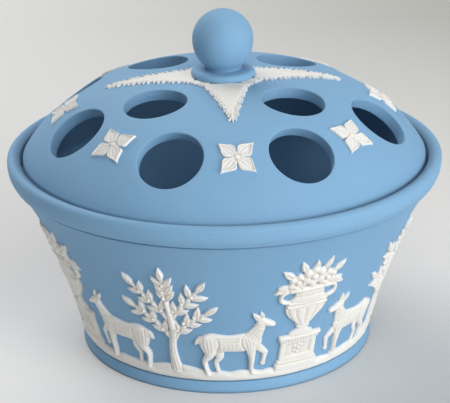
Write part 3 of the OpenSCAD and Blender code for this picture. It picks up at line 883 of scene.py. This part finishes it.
def draw_urn(edge):
    """Fluted urn of flowers on a panelled plinth."""
    relief = Relief((-17, -1.5), (17, 49.5), 0.27, edge)
    x, y = relief.x, relief.y

    def turned(profile, lift, lobes=0, lobe_top=0.0):
        """Round form from its half widths and heights, fluted up to a height."""
        heights = [p[1] for p in profile]
        half = np.interp(y, heights, [p[0] for p in profile])
        inside = np.minimum(half - np.abs(x), np.minimum(y - heights[0], heights[-1] - y))
        across = np.clip(x / half, -1, 1)
        high = edge + (lift - edge) * np.sqrt(1 - 0.85 * across ** 2)
        if lobes:
            fluted = np.clip((lobe_top - y) / 1.2, 0, 1) * np.clip((y - heights[0]) / 2, 0.2, 1)
            high -= 0.45 * fluted * (1 - np.abs(np.sin(lobes * np.arcsin(across)))) ** 1.5
        relief.lay(inside, high, trench=0.3)

    def slab(low, high, half, lift, round_edge=0.6):
        """Flat block with rounded edges."""
        inside = np.minimum(half - np.abs(x), np.minimum(y - low, high - y))
        relief.lay(inside, edge + (lift - edge) * swell(inside / round_edge))

    for handle in mirrored([(7.0, 29.4, 0.9), (10.4, 31.0, 0.8), (10.3, 34.2, 0.8), (7.4, 35.4, 0.9)]):
        relief.roll(handle, 1.3)
    slab(-1.5, 12.4, 7.3, 1.2)
    panel = np.minimum(5.2 - np.abs(x), np.minimum(y - 4.6, 10.4 - y))
    relief.high -= 0.45 * np.clip(panel / 0.4, 0, 1)
    relief.flower((0, 7.5), 2.4, 1.2)
    slab(-1.5, 1.6, 8.5, 1.7)
    slab(1.4, 2.8, 7.9, 1.45)
    slab(11.0, 12.6, 7.9, 1.45)
    slab(12.4, 14.1, 8.4, 1.75)
    for k in range(-6, 7):
        relief.carve([(1.15 * k, 11.1, 0.3), (1.15 * k, 12.3, 0.3)], 0.5)
    turned([(4.8, 14.0), (4.8, 15.0), (2.4, 16.6), (1.7, 17.8), (2.2, 18.8)], 1.5)
    relief.roll([(-2.2, 18.3, 0.6), (2.2, 18.3, 0.6)], 1.6)
    body = smooth([(2.4, 18.9), (5.2, 21.4), (7.7, 25.0), (8.0, 28.6), (6.4, 31.6), (5.4, 33.0), (6.4, 34.6)])
    turned([tuple(p) for p in body], 1.8, lobes=6, lobe_top=27.4)
    relief.roll([(-7.6, 28.0, 0.5), (7.6, 28.0, 0.5)], 1.9, trench=0.2)
    relief.roll([(-7.4, 29.6, 0.35), (7.4, 29.6, 0.35)], 1.75, trench=0.15)
    for k in range(-5, 6):
        relief.bead((1.05 * k, 33.2), 0.5, 1.75, trench=0.2)
    relief.roll([(-7.4, 35.4, 0.9), (7.4, 35.4, 0.9)], 1.9, trench=0.3)
    relief.carve([(-7.4, 35.2, 0.3), (7.4, 35.2, 0.3)], 0.3)
    for side in (-1, 1):
        relief.leaf((side * 7.4, 38.0), 90 - side * 118, 7.6, 3.2, 1.15)
        relief.leaf((side * 7.0, 40.4), 90 - side * 52, 7.2, 3.0, 1.15)
        relief.leaf((side * 3.2, 42.6), 90 - side * 28, 6.6, 2.8, 1.15)
        relief.leaf((side * 8.6, 36.8), 90 - side * 84, 4.6, 2.4, 1.0)
    relief.leaf((0, 42.6), 90, 5.6, 2.8, 1.2)
    for side in (-1, 1):
        relief.flower((side * 5.8, 38.9), 3.9, 1.55)
    relief.flower((0, 40.8), 4.7, 1.7)
    return relief


def draw_doe(edge):
    """Standing doe that looks ahead, one forefoot raised."""
    relief = Relief((-14.5, -1.5), (17, 28.5), 0.22, edge)
    # Far legs and ear, low
    for leg in ([(8.4, 11.6, 1.9), (11.6, 8.2, 1.15), (11.9, 7.6, 1.0), (11.2, 4.0, 0.8), (11.0, 2.9, 1.0)],
                [(-5.4, 11, 2.5), (-4.3, 6.8, 1.4), (-5.6, 4.2, 0.9), (-5.1, 1, 0.8), (-4.6, -1.2, 1.1)]):
        relief.roll(leg, 0.95)
    relief.leaf((11.0, 23.4), 100, 3.9, 1.8, 0.9, vein=0.2)
    # Trunk, neck and head
    relief.roll([(-7.3, 13.3, 4.2), (-1.7, 12.9, 3.7), (3.9, 13.2, 4.1), (6.9, 13.8, 3.8)], 1.55, trench=0.25)
    relief.roll([(6.3, 13.6, 4.0), (8.4, 17.0, 2.7), (9.7, 19.6, 2.1), (10.7, 22.0, 1.8)], 1.5)
    relief.roll([(10.5, 22.5, 2.0), (12.6, 21.8, 1.5), (14.6, 20.9, 0.95)], 1.55, trench=0.15)
    relief.leaf((10.1, 23.0), 128, 4.6, 2.1, 1.3, vein=0.4)
    # Haunch, shoulder and near legs
    relief.roll([(-8.4, 13.6, 3.6), (-7.9, 11.0, 3.0), (-7.9, 7.6, 1.7), (-9.6, 4.9, 1.05), (-9.0, 1, 0.85),
                 (-8.4, -1.2, 1.2)], 1.8, trench=0.2)
    relief.roll([(6.2, 14.2, 3.0), (6.6, 11.0, 2.2), (7.1, 6.2, 1.25), (6.9, 1, 0.85), (7.5, -1.2, 1.2)],
                1.75, trench=0.2)
    relief.leaf((-10.6, 16.2), 238, 5.0, 2.4, 1.2, vein=0.25)
    # Eye, muzzle, belly and the fold of the flank
    relief.bead((12.0, 22.5), 0.45, 1.85)
    relief.carve([(13.9, 20.4, 0.3), (14.9, 20.6, 0.3)], 0.5)
    relief.carve([(10.6, 20.2, 0.3), (11.8, 20.6, 0.4), (12.8, 20.6, 0.3)], 0.3)
    relief.carve([(-5.2, 15.4, 0.3), (-4.7, 12.6, 0.6), (-5.4, 10.2, 0.4)], 0.35)
    relief.carve([(3.4, 15.0, 0.3), (3.6, 12.4, 0.5), (4.4, 10.6, 0.4)], 0.3)
    # Engraved coat: neck, back, ribs, haunch, legs and hooves
    relief.comb([(7.0, 15.0, 2.9), (8.5, 17.2, 2.3), (9.7, 19.8, 1.8)], (-0.7, -0.25, 0.25, 0.7), 0.24)
    relief.comb([(-4.6, 13.0, 3.4), (-1.5, 12.8, 3.3), (2.4, 13.0, 3.4)], (0.45, 0.75), 0.22)
    for x in (-3.4, -1.9, -0.4, 1.1, 2.6):
        relief.carve([(x, 13.6, 0.2), (x + 0.4, 12.2, 0.34), (x + 0.1, 10.6, 0.2)], 0.16)
    relief.comb([(-9.4, 15.0, 2.6), (-8.9, 12.4, 2.6), (-8.4, 9.2, 1.8)], (-0.45, 0.05, 0.55), 0.24)
    relief.comb([(5.6, 15.4, 2.2), (6.3, 12.4, 2.0), (6.9, 8.4, 1.5)], (-0.5, 0, 0.5), 0.22)
    for x, y in ((-8.4, 0.1), (7.4, 0.1), (-4.7, 0.1), (11.1, 3.7)):
        relief.carve([(x - 1.2, y, 0.25), (x + 1.2, y, 0.25)], 0.35)
    return relief


def draw_laurel(edge):
    """Laurel tree on a low mound."""
    relief = Relief((-21, -1.5), (21, 48.5), 0.25, edge)
    mound = 26 - np.hypot(relief.x, relief.y + 24)
    relief.lay(mound, edge + 0.8 * swell(mound / 3))

    def bough(line, pairs, lift):
        """Branch with pairs of leaves, a berry at each pair and a leaf at its end."""
        path = smooth(line, 8)
        relief.roll(line, lift, trench=0.25)
        for k in range(1, pairs + 2):
            n = round((len(path) - 1) * k / (pairs + 1))
            way = path[n] - path[n - 1]
            turn = math.degrees(math.atan2(way[1], way[0]))
            wave = math.sin(5.3 * k + line[-1][0])
            if k > pairs:
                relief.leaf(path[n][:2] - 0.1 * way[:2], turn, 6.4, 2.6, lift + 0.15)
                continue
            for side in (-1, 1):
                relief.leaf(path[n][:2], turn + side * (42 + 5 * wave), 6.2 + 0.6 * wave, 2.5, lift + 0.1)
            relief.bead(path[n][:2] + np.array([0.9 * wave, 1.0]), 0.75, lift + 0.45, trench=0.2)

    for low in mirrored([(0, 13, 1.1), (3.4, 18.6, 0.9), (8.4, 23.2, 0.8), (13, 26.4, 0.6)]):
        bough(low, 3, 1.15)
    for high in mirrored([(0, 22, 1.1), (3.6, 27.6, 0.9), (8, 32.6, 0.8), (11.6, 37, 0.6)]):
        bough(high, 3, 1.2)
    bough([(0, 30, 1.1), (0.2, 35, 0.9), (0, 41, 0.7)], 3, 1.3)
    relief.roll([(0, -1.5, 2.2), (-0.7, 9, 1.4), (0.6, 20, 1.25), (0, 31, 1.0)], 1.6, trench=0.3)
    relief.comb([(0, 0, 1.8), (-0.7, 9, 1.2), (0.5, 19, 1.0)], (-0.55, 0.1, 0.65), 0.4)
    return relief


# Turned bodies

def shade_on_line(line, grooves):
    """Painted shade on the points of a line, from the bottom, the most shade and the reach of each groove."""
    soil = np.zeros(len(line))
    for groove, most, reach in grooves:
        soil = np.maximum(soil, most * np.exp(-(np.linalg.norm(line - groove, axis=1) / reach) ** 2))
    return soil


def bowl_line(s):
    """Section of the bowl and its painted shade, from under its middle over the rim to the middle of its
    floor.
    """
    ring_in = s.foot_r - s.foot_ring
    edge_r = s.foot_r + s.foot_spread
    high_r = edge_r - s.foot_lean
    under = rounded([
        (0, s.hollow, 0), (ring_in, s.hollow, 0.8 * MM), (ring_in, 0, 0.5 * MM), (edge_r, 0, s.foot_round),
        (edge_r - 0.1 * MM, 1.1 * s.foot_round, 0)])
    middle_r = (edge_r + high_r) / 2 + s.foot_swell
    foot = bezier([under[-1], (middle_r, 0.55 * s.foot_h), (high_r, s.foot_h - 0.6 * MM)], 12)
    step = rounded([(*foot[-1], 0), (high_r - 0.1 * MM, s.foot_h, 0.5 * MM), (s.wall_foot_r, s.foot_h, 0)])
    wall = Wall(s).line
    cut = s.line_cut
    below = wall[-4]
    line = rounded([
        (*below, 0), (below[0] - cut, below[1] + 0.6 * cut, 0.25 * MM),
        (s.wall_top_r - cut, s.line_z - 0.2 * cut, 0.2 * MM), (s.line_r, s.line_z, 0.3 * MM),
        (s.line_r + 0.3 * MM, s.line_z + 0.8 * MM, 0)], 4)
    top = bowl_top - s.lip_r
    band = bezier([line[-1], (s.rim_r, s.line_z + s.rim_turn), (s.rim_r, top)], 16)
    lip = arc((s.rim_r - s.lip_r, top), s.lip_r, 0, 90 + math.degrees(s.lip_fall), 14)
    brink_r = s.gallery_r + s.gallery_lean
    brink_z = lip[-1][1] - (lip[-1][0] - brink_r) * math.tan(s.lip_fall)
    gallery = rounded([
        (*lip[-1], 0), (brink_r, brink_z, 0.6 * MM), (s.gallery_r, s.seat_z, 0.8 * MM),
        (s.ledge_r, s.seat_z, 0.7 * MM), (s.ledge_r, s.throat_z, 0)])
    turn_z = s.floor_z + s.floor_bend * (1 - math.sin(s.lean))
    foot_r = s.wall_foot_r + (turn_z - s.foot_h) * math.tan(s.lean) - s.wall_t / math.cos(s.lean)
    low = np.array([foot_r, turn_z])
    throat = np.array([s.ledge_r, s.throat_z])
    run = s.lean_run - (turn_z - s.foot_h) / math.cos(s.lean)
    inside = bezier([throat, throat - s.flare_run * upright(s.flare), low + run * upright(s.lean), low], 48)
    bend = low + s.floor_bend * np.array([-math.cos(s.lean), math.sin(s.lean)])
    floor = arc(bend, s.floor_bend, -math.degrees(s.lean), -90, 10)
    section = np.concatenate([
        under[:-1], foot[:-1], step[:-1], wall[:-4], line[:-1], band[:-1], lip[:-1], gallery[:-1],
        inside[:-1], floor, [[0, s.floor_z]]])
    # Painted shade in the incised line, in the groove above the foot, on the foot's lower edge and in the
    # gallery
    under_rim = wall[-3] - np.array([cut, 0])
    grooves = [
        (under_rim, s.line_shade, s.shade_reach), ((s.wall_foot_r, s.foot_h), s.groove_shade, s.shade_reach),
        ((edge_r, 0), s.edge_shade, s.shade_reach), ((brink_r, brink_z), s.rim_shade, s.rim_shade_reach)]
    return section, shade_on_line(section, grooves)


def knob_line(s):
    """Section of the knob and its painted shade: rounded collar, neck and ball."""
    half = s.collar_h / 2
    seat = s.collar_r - half
    start = math.degrees(math.acos(s.neck_r / s.knob_r))
    ball = arc((0, 0), s.knob_r, -start, 90, 64)
    ball[:, 1] *= np.where(ball[:, 1] < 0, s.ball_length, 1)
    ball[:, 1] += s.knob_rise + s.seat_drop
    collar = arc((seat, half), half, -90, 90, 16)
    neck = (s.neck_r - 0.2 * MM, s.collar_h)
    cove = rounded([(*collar[-1], 0), (*neck, 0.5 * MM), (*ball[0], 0)])
    ball[-1, 0] = 0
    line = np.concatenate([[[0, 0]], collar[:-1], cove[:-1], ball])
    soil = shade_on_line(line, [(neck, s.neck_shade, s.shade_reach)])
    return line + np.array([0, knob_foot - s.seat_drop]), soil


def section_mesh(name, line, soil):
    """Line of points (radius, 0, height) for the lathe, with the painted shade on them."""
    points = np.stack([line[:, 0], np.zeros(len(line)), line[:, 1]], -1)
    return new_mesh(name, points, edges=[(i, i + 1) for i in range(len(line) - 1)], soil=soil)


class LidQuarter:
    """One quarter of the lid with its share of the holes, as points and faces."""

    def __init__(self, s):
        self.s = s
        self.dome = Dome(s)
        self.points, self.faces = [], []
        self.total = 0
        self.quarter = FULL_TURN / s.inner_holes
        holes = [(s.outer_ring_r, (k + 0.5) * FULL_TURN / s.outer_holes, s.outer_hole_r)
                 for k in range(s.outer_holes // s.inner_holes)]
        holes.append((s.inner_ring_r, 0.5 * FULL_TURN / s.inner_holes + s.inner_turn, s.inner_hole_r))
        self.keep_off = []
        mouths, backs = [], []
        for ring_r, turn, radius in holes:
            rows = self.hole(ring_r, turn, radius)
            self.take(np.concatenate(rows), quads(len(rows), HOLE_POINTS))
            mouths.append(rows[0])
            backs.append(rows[-1])
        turns = np.linspace(0, self.quarter, QUARTER_STEPS + 1)
        rows = [around(r, z, turns) for r, z in self.edge_line()]
        self.take(np.concatenate(rows), quads(len(rows), len(turns), ring=False))
        self.sheet(mouths, rows[0], 0.0, knob_foot - s.seat_drop)
        self.sheet(backs, rows[-1], -s.lid_t, s.apex_z)

    def take(self, points, faces):
        """Adds points and the faces between them."""
        self.points.append(points)
        self.faces += [tuple(i + self.total for i in f) for f in faces]
        self.total += len(points)

    def hole(self, ring_r, turn, radius):
        """Rows of points down through a hole: rounded edge, wall and rounded edge."""
        s = self.s
        middle, across, up, axis = self.dome.seat(ring_r, turn)
        self.keep_off.append((middle, axis, radius + s.hole_round))
        a = np.linspace(0, FULL_TURN, HOLE_POINTS, endpoint=False)[:, None]
        way = np.cos(a) * across + np.sin(a) * up
        rows = []
        for out, sign in ((0.0, -1), (-s.lid_t, 1)):
            edge = []
            for b in np.linspace(0, math.pi / 2, HOLE_EDGE_STEPS + 1):
                reach = radius + s.hole_round * (1 - math.sin(b))
                p = self.dome.drop(middle + reach * way, axis, out)
                edge.append(p + sign * s.hole_round * (1 - math.cos(b)) * axis)
            rows += edge if sign < 0 else edge[::-1]
        return rows

    def edge_line(self):
        """Section of the lid's edge, seat and flange, from the outside of the dome to its inside."""
        s = self.s
        start_r = s.lid_r - 1.5 * MM
        start = (start_r, float(self.dome.height(start_r)), 0)
        inner = (s.flange_in_r, float(self.dome.height(s.flange_in_r, -s.lid_t)), 0)
        return rounded([
            start, (s.lid_r, s.edge_z, 0.6 * MM), (s.lid_r, s.seat_z, 0.6 * MM),
            (s.flange_r, s.seat_z, 0.5 * MM), (s.flange_r, s.flange_z, 0.7 * MM),
            (s.flange_in_r, s.flange_z, 0.7 * MM), inner])

    def sheet(self, rings, rim, out, ceiling):
        """Outside or inside of the dome between the rings of the holes and a rim, up to a ceiling."""
        spacing = LID_SPACING
        half, clear = 0.5 * spacing, 0.6 * spacing
        limit = math.hypot(*rim[0][:2])
        radii = np.arange(0, limit - half, spacing)
        first, last = (np.outer(radii, (math.sin(t), -math.cos(t))) for t in (0, self.quarter))
        border = np.concatenate([first, rim[:, :2], last[:0:-1]])
        loops = [border] + [ring[:, :2] for ring in rings]
        # Points in rows like a honeycomb, clear of the border and the holes
        row_step = spacing * math.sqrt(0.75)
        far = math.ceil(limit / row_step)
        columns, rows = np.meshgrid(np.arange(far), np.arange(-far, 1))
        x = (columns + 0.5 * (rows % 2)) * spacing
        y = rows * row_step
        r = np.hypot(x, y)
        p = np.stack([x, y, self.dome.height(r, out)], -1)
        free = (r < limit - clear) & (x > half) & (y < -half)
        for middle, axis, reach in self.keep_off:
            arm = p - middle
            level = arm - (arm @ axis)[..., None] * axis
            free &= np.linalg.norm(level, axis=-1) > reach + clear
        flat = np.concatenate(loops + [p[free][:, :2]])
        on_border = self.dome.height(np.hypot(*border.T), out)
        high = np.concatenate([on_border] + [ring[:, 2] for ring in rings] + [p[free][:, 2]])
        # Triangles between all of them, less those that fill a hole and those without area
        sizes = [len(loop) for loop in loops]
        starts = np.cumsum([0] + sizes)
        edges = [(a + i, a + (i + 1) % n) for a, n in zip(starts, sizes) for i in range(n)]
        owner = np.repeat(np.arange(len(sizes) + 1), sizes + [free.sum()])
        made = delaunay_2d_cdt([Vector(q) for q in flat], edges, [], 1, 0.0001 * MM, True)
        source = np.array([ids[0] for ids in made[3]])
        faces = np.array(made[2])
        a, b, c = (flat[source[faces[:, k]]] for k in range(3))
        area = np.abs(np.cross(b - a, c - a)) / 2
        owners = owner[source[faces]]
        in_hole = (owners.min(1) == owners.max(1)) & (owners[:, 0] > 0) & (owners[:, 0] < len(sizes))
        points = np.concatenate([flat, np.minimum(high, ceiling)[:, None]], -1)[source]
        self.take(points, faces[~in_hole & (area > LEAST_AREA)].tolist())


def ground_mesh(s, sizes):
    """White ground all round above the foot, its upper edge uneven like earth."""
    wall = Wall(s)
    turns = np.linspace(0, FULL_TURN, GROUND_POINTS, endpoint=False)
    uneven = 0.3 * np.sin(16 * turns + 1) + 0.22 * np.sin(37 * turns) + 0.16 * np.sin(61 * turns + 2)
    bottom = s.foot_h + sizes.ground_gap
    top = s.foot_h + sizes.ground_h + (uneven - 0.15) * MM
    # Section from its foot to its upper edge: share of the height, share of the relief
    section = [
        (0, -0.07), (0, 0.4), (0.03, 0.58), (0.1, 0.78), (0.3, 1), (0.5, 0.98), (0.7, 0.93), (0.84, 0.82),
        (0.93, 0.62), (0.98, 0.36), (1, 0.1), (1, -0.07)]
    rows, values = [], []
    for share, relief in section:
        z = bottom + share * (top - bottom)
        lumps = 0.12 * np.sin(23 * turns + 5 * share) + 0.1 * np.sin(53 * turns - 7 * share)
        out = relief * sizes.ground_relief * (1 + lumps * share * (share < 1))
        p = wall.lay(np.zeros(len(turns)), z, out)
        rows.append(around(-p[:, 1], p[:, 2], turns))
        values.append(out)
    points = np.concatenate(rows)
    faces = quads(len(rows), len(turns), loop=True)
    return new_mesh(
        "ground_band", points, faces, relief=np.concatenate(values), crease=np.zeros(len(points)))


# Operators

class Piece:
    """What the operators share: the sizes, the finishes and two ways to make a piece."""

    bl_options = {"REGISTER"}

    def execute(self, context):
        """Makes the piece."""
        scene = context.scene
        self.make(scene.vase_bowl, scene.vase_lid, scene.vase_sprigs)
        return {"FINISHED"}

    def finish(self, slot):
        """Material of a slot, made once."""
        name, make = FINISHES[slot]
        return bpy.data.materials.get(name) or make(bpy.context.scene.vase_finish)

    def lathe(self, name, section, segments, body, slot, nodes):
        """Turns a section about the axis and sets the piece in the frame."""
        tree = bpy.data.node_groups.get(LATHE) or turned_tree()
        piece = grow(name, section, tree, Segments=segments, Finish=self.finish(slot))
        place(piece, body, nodes)

    def ring(self, name, mesh, number, turn, body, slot, nodes):
        """Repeats a mesh about the axis and sets the piece in the frame."""
        tree = bpy.data.node_groups.get(RING) or ring_tree()
        inputs = {"Count": number, "First turn": turn, "Finish": self.finish(slot)}
        place(grow(name, mesh, tree, **inputs), body, nodes)


class VASE_OT_bowl(Piece, bpy.types.Operator):
    """Turns the bowl"""
    bl_idname = "vase.bowl"
    bl_label = "Bowl"

    def make(self, bowl, lid, sprigs):
        """Lathe work from the bowl's section."""
        section = section_mesh("bowl_section", *bowl_line(bowl))
        self.lathe("turned_bowl", section, BOWL_SEGMENTS, "bowl_body", "blue_stoneware", ["bowl"])


class VASE_OT_lid(Piece, bpy.types.Operator):
    """Makes the pierced lid"""
    bl_idname = "vase.lid"
    bl_label = "Pierced lid"

    def make(self, bowl, lid, sprigs):
        """One quarter of the lid, repeated about the axis."""
        quarter = LidQuarter(lid)
        points = np.concatenate(quarter.points)
        # Painted shade: the underside of the lid is darkened, so that the holes look deeper
        under = quarter.dome.away(points)[0] < UNDER_SLACK - lid.lid_t
        mesh = new_mesh("lid_quarter", points, quarter.faces, soil=lid.underside_shade * under)
        self.ring("dome_lid", mesh, lid.inner_holes, 0.0, "lid_body", "blue_stoneware", ["pierced_lid"])


class VASE_OT_knob(Piece, bpy.types.Operator):
    """Turns the ball knob and its collar"""
    bl_idname = "vase.knob"
    bl_label = "Ball knob"

    def make(self, bowl, lid, sprigs):
        """Lathe work from the knob's section."""
        section = section_mesh("knob_section", *knob_line(lid))
        self.lathe("turned_knob", section, KNOB_SEGMENTS, "lid_body", "blue_stoneware", ["ball_knob"])


class VASE_OT_leaves(Piece, bpy.types.Operator):
    """Lays the acanthus leaves round the knob"""
    bl_idname = "vase.leaves"
    bl_label = "Acanthus leaves"

    def make(self, bowl, lid, sprigs):
        """One leaf on the crown, repeated about the axis."""
        dome = Dome(lid)
        level = np.array([0, 0, 1.0])

        def lay(x, y, high):
            """Straight down onto the crown."""
            return dome.lay(np.stack([x, -y, np.full(len(x), lid.apex_z)], -1), level, high)

        mesh = sprig_mesh("leaf", draw_acanthus(sprigs.edge / MM), lay, sprigs.sink)
        nodes = numbered("acanthus_leaf", lid.inner_holes)
        self.ring("acanthus_leaves", mesh, lid.inner_holes, 0.0, "lid_body", "white_stoneware", nodes)


class VASE_OT_florets(Piece, bpy.types.Operator):
    """Lays the florets between the outer holes"""
    bl_idname = "vase.florets"
    bl_label = "Florets"

    def make(self, bowl, lid, sprigs):
        """One floret square on the shoulder, repeated about the axis."""
        dome = Dome(lid)
        middle, across, up, axis = dome.seat(sprigs.floret_ring_r, 0.0)

        def lay(x, y, high):
            """Square onto the shoulder."""
            return dome.lay(middle + x[:, None] * across + y[:, None] * up, axis, high)

        mesh = sprig_mesh("floret", draw_floret(sprigs.edge / MM), lay, sprigs.sink)
        nodes = numbered("floret", lid.outer_holes)
        self.ring("florets", mesh, lid.outer_holes, 0.0, "lid_body", "white_stoneware", nodes)


class Motif(Piece):
    """What the operators of the frieze share."""

    def lay_ring(self, name, bowl, sprigs, relief, turn, nodes, side=1):
        """A motif on the wall above the ground band, repeated about the axis; side -1 mirrors it."""
        wall = Wall(bowl)
        ground = bowl.foot_h + sprigs.ground_h

        def lay(x, y, high):
            """Straight back onto the wall."""
            return wall.lay(side * x, ground + y, high)

        mesh = sprig_mesh(name, relief, lay, sprigs.sink)
        first = sprigs.frieze_turn + turn
        self.ring(name, mesh, sprigs.repeats, first, "bowl_body", "white_stoneware", nodes)


class VASE_OT_ground(Piece, bpy.types.Operator):
    """Lays the white ground band above the foot"""
    bl_idname = "vase.ground"
    bl_label = "Ground band"

    def make(self, bowl, lid, sprigs):
        """One band all round."""
        mesh = ground_mesh(bowl, sprigs)
        self.ring("ground_frieze", mesh, 1, 0.0, "bowl_body", "white_stoneware", ["ground_band"])


class VASE_OT_urns(Motif, bpy.types.Operator):
    """Lays the urns of flowers round the bowl"""
    bl_idname = "vase.urns"
    bl_label = "Urns"

    def make(self, bowl, lid, sprigs):
        """One urn, repeated about the axis."""
        nodes = numbered("urn", sprigs.repeats)
        self.lay_ring("urn_sprigs", bowl, sprigs, draw_urn(sprigs.edge / MM), 0.0, nodes)


class VASE_OT_does(Motif, bpy.types.Operator):
    """Lays the does that face the urns"""
    bl_idname = "vase.does"
    bl_label = "Does"

    def make(self, bowl, lid, sprigs):
        """A doe at each side of an urn, both repeated about the axis."""
        nodes = numbered("doe", 2 * sprigs.repeats)
        relief = draw_doe(sprigs.edge / MM)
        self.lay_ring("doe_left_sprigs", bowl, sprigs, relief, -sprigs.doe_turn, nodes[::2])
        self.lay_ring("doe_right_sprigs", bowl, sprigs, relief, sprigs.doe_turn, nodes[1::2], side=-1)


class VASE_OT_laurels(Motif, bpy.types.Operator):
    """Lays the laurels between the groups"""
    bl_idname = "vase.laurels"
    bl_label = "Laurels"

    def make(self, bowl, lid, sprigs):
        """One laurel halfway between two urns, repeated about the axis."""
        nodes = numbered("laurel", sprigs.repeats)
        turn = 0.5 * FULL_TURN / sprigs.repeats
        self.lay_ring("laurel_sprigs", bowl, sprigs, draw_laurel(sprigs.edge / MM), turn, nodes)


class VASE_OT_stage(bpy.types.Operator):
    """Sets the floor, the light and the camera"""
    bl_idname = "vase.stage"
    bl_label = "Stage"

    def execute(self, context):
        """Floor of pale paper, soft light from the right and above, camera as the photograph has it."""
        scene = context.scene
        stage, finish = scene.vase_stage, scene.vase_finish
        scene.view_settings.view_transform = "Standard"
        self.floor(scene, finish)
        self.room(scene, stage, finish)
        for name, spot, size in LAMPS:
            self.lamp(scene, name.capitalize(), spot, size, getattr(stage, name))
        self.camera(scene, stage)
        return {"FINISHED"}

    def floor(self, scene, finish):
        """Round sheet of matte paper."""
        shell = bmesh.new()
        bmesh.ops.create_circle(shell, cap_ends=True, segments=PAPER_SEGMENTS, radius=PAPER_R)
        bmesh.ops.translate(shell, verts=shell.verts, vec=(0, 0, -PAPER_DROP))
        mesh = bpy.data.meshes.new("floor")
        shell.to_mesh(mesh)
        shell.free()
        mesh.materials.append(matte_paper(finish))
        floor = bpy.data.objects.new("floor", mesh)
        scene.collection.objects.link(floor)

    def room(self, scene, stage, finish):
        """Soft light from all round; the camera sees a pale backdrop."""
        scene.world = bpy.data.worlds.new("Room")
        scene.world.use_nodes = True
        tree = scene.world.node_tree
        tree.nodes.clear()
        light = add(tree, "ShaderNodeBackground", {"Color": (1.0, 1.0, 1.0, 1.0), "Strength": stage.sky})
        seen = add(tree, "ShaderNodeBackground", {"Color": finish.backdrop, "Strength": 1.0})
        mix = add(tree, "ShaderNodeMixShader", {0: seen_rays(tree), 1: light.outputs[0], 2: seen.outputs[0]})
        add(tree, "ShaderNodeOutputWorld", {"Surface": mix.outputs[0]})

    def lamp(self, scene, name, spot, size, power):
        """Square soft box that faces the bowl."""
        data = bpy.data.lights.new(name, "AREA")
        data.size = size
        data.energy = power
        lamp = bpy.data.objects.new(name, data)
        lamp.location = spot
        lamp.rotation_euler = (LAMP_AIM - Vector(spot)).to_track_quat("-Z", "Y").to_euler()
        scene.collection.objects.link(lamp)

    def camera(self, scene, stage):
        """Long lens that looks down on the bowl from the front."""
        data = bpy.data.cameras.new("Camera")
        data.lens = stage.lens
        data.sensor_width = SENSOR
        camera = bpy.data.objects.new("Camera", data)
        out = Vector((math.sin(stage.turn), -math.cos(stage.turn), 0))
        spot = out * stage.distance + Vector((0, 0, stage.height))
        ahead = (Vector((0, 0, stage.aim)) - spot).normalized()
        level = ahead.cross(Vector((0, 0, 1))).normalized()
        up = level.cross(ahead)
        right = math.cos(stage.roll) * level + math.sin(stage.roll) * up
        axes = Matrix((right, right.cross(ahead), -ahead)).transposed()
        camera.matrix_world = Matrix.Translation(spot) @ axes.to_4x4()
        scene.collection.objects.link(camera)
        scene.camera = camera


PIECES = (
    VASE_OT_bowl, VASE_OT_lid, VASE_OT_knob, VASE_OT_leaves, VASE_OT_florets,
    VASE_OT_ground, VASE_OT_urns, VASE_OT_does, VASE_OT_laurels)
GROUPS = {
    "vase_bowl": BowlSizes, "vase_lid": LidSizes, "vase_sprigs": SprigSizes,
    "vase_finish": Finish, "vase_stage": StageSettings,
}


class VASE_PT_panel(bpy.types.Panel):
    """Lists the pieces and their sizes"""
    bl_idname = "VASE_PT_panel"
    bl_label = "Potpourri bowl"
    bl_space_type = "VIEW_3D"
    bl_region_type = "UI"
    bl_category = "Potpourri bowl"

    def draw(self, context):
        """Buttons first, then the sizes and colours."""
        for piece in (VASE_OT_stage, *PIECES):
            self.layout.operator(piece.bl_idname)
        for name, group in GROUPS.items():
            box = self.layout.box()
            for key in group.__annotations__:
                box.prop(getattr(context.scene, name), key)


CLASSES = (*GROUPS.values(), VASE_OT_stage, *PIECES, VASE_PT_panel)


def register():
    """Registers the classes and the scene's settings."""
    for item in CLASSES:
        bpy.utils.register_class(item)
    for name, group in GROUPS.items():
        setattr(bpy.types.Scene, name, bpy.props.PointerProperty(type=group))


def unregister():
    """Takes away what register adds."""
    for name in GROUPS:
        delattr(bpy.types.Scene, name)
    for item in reversed(CLASSES):
        bpy.utils.unregister_class(item)


def main():
    """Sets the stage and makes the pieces."""
    register()
    bpy.ops.vase.stage()
    bpy.ops.vase.bowl()
    bpy.ops.vase.lid()
    bpy.ops.vase.knob()
    bpy.ops.vase.leaves()
    bpy.ops.vase.florets()
    bpy.ops.vase.ground()
    bpy.ops.vase.urns()
    bpy.ops.vase.does()
    bpy.ops.vase.laurels()


if __name__ == "__main__":
    main()
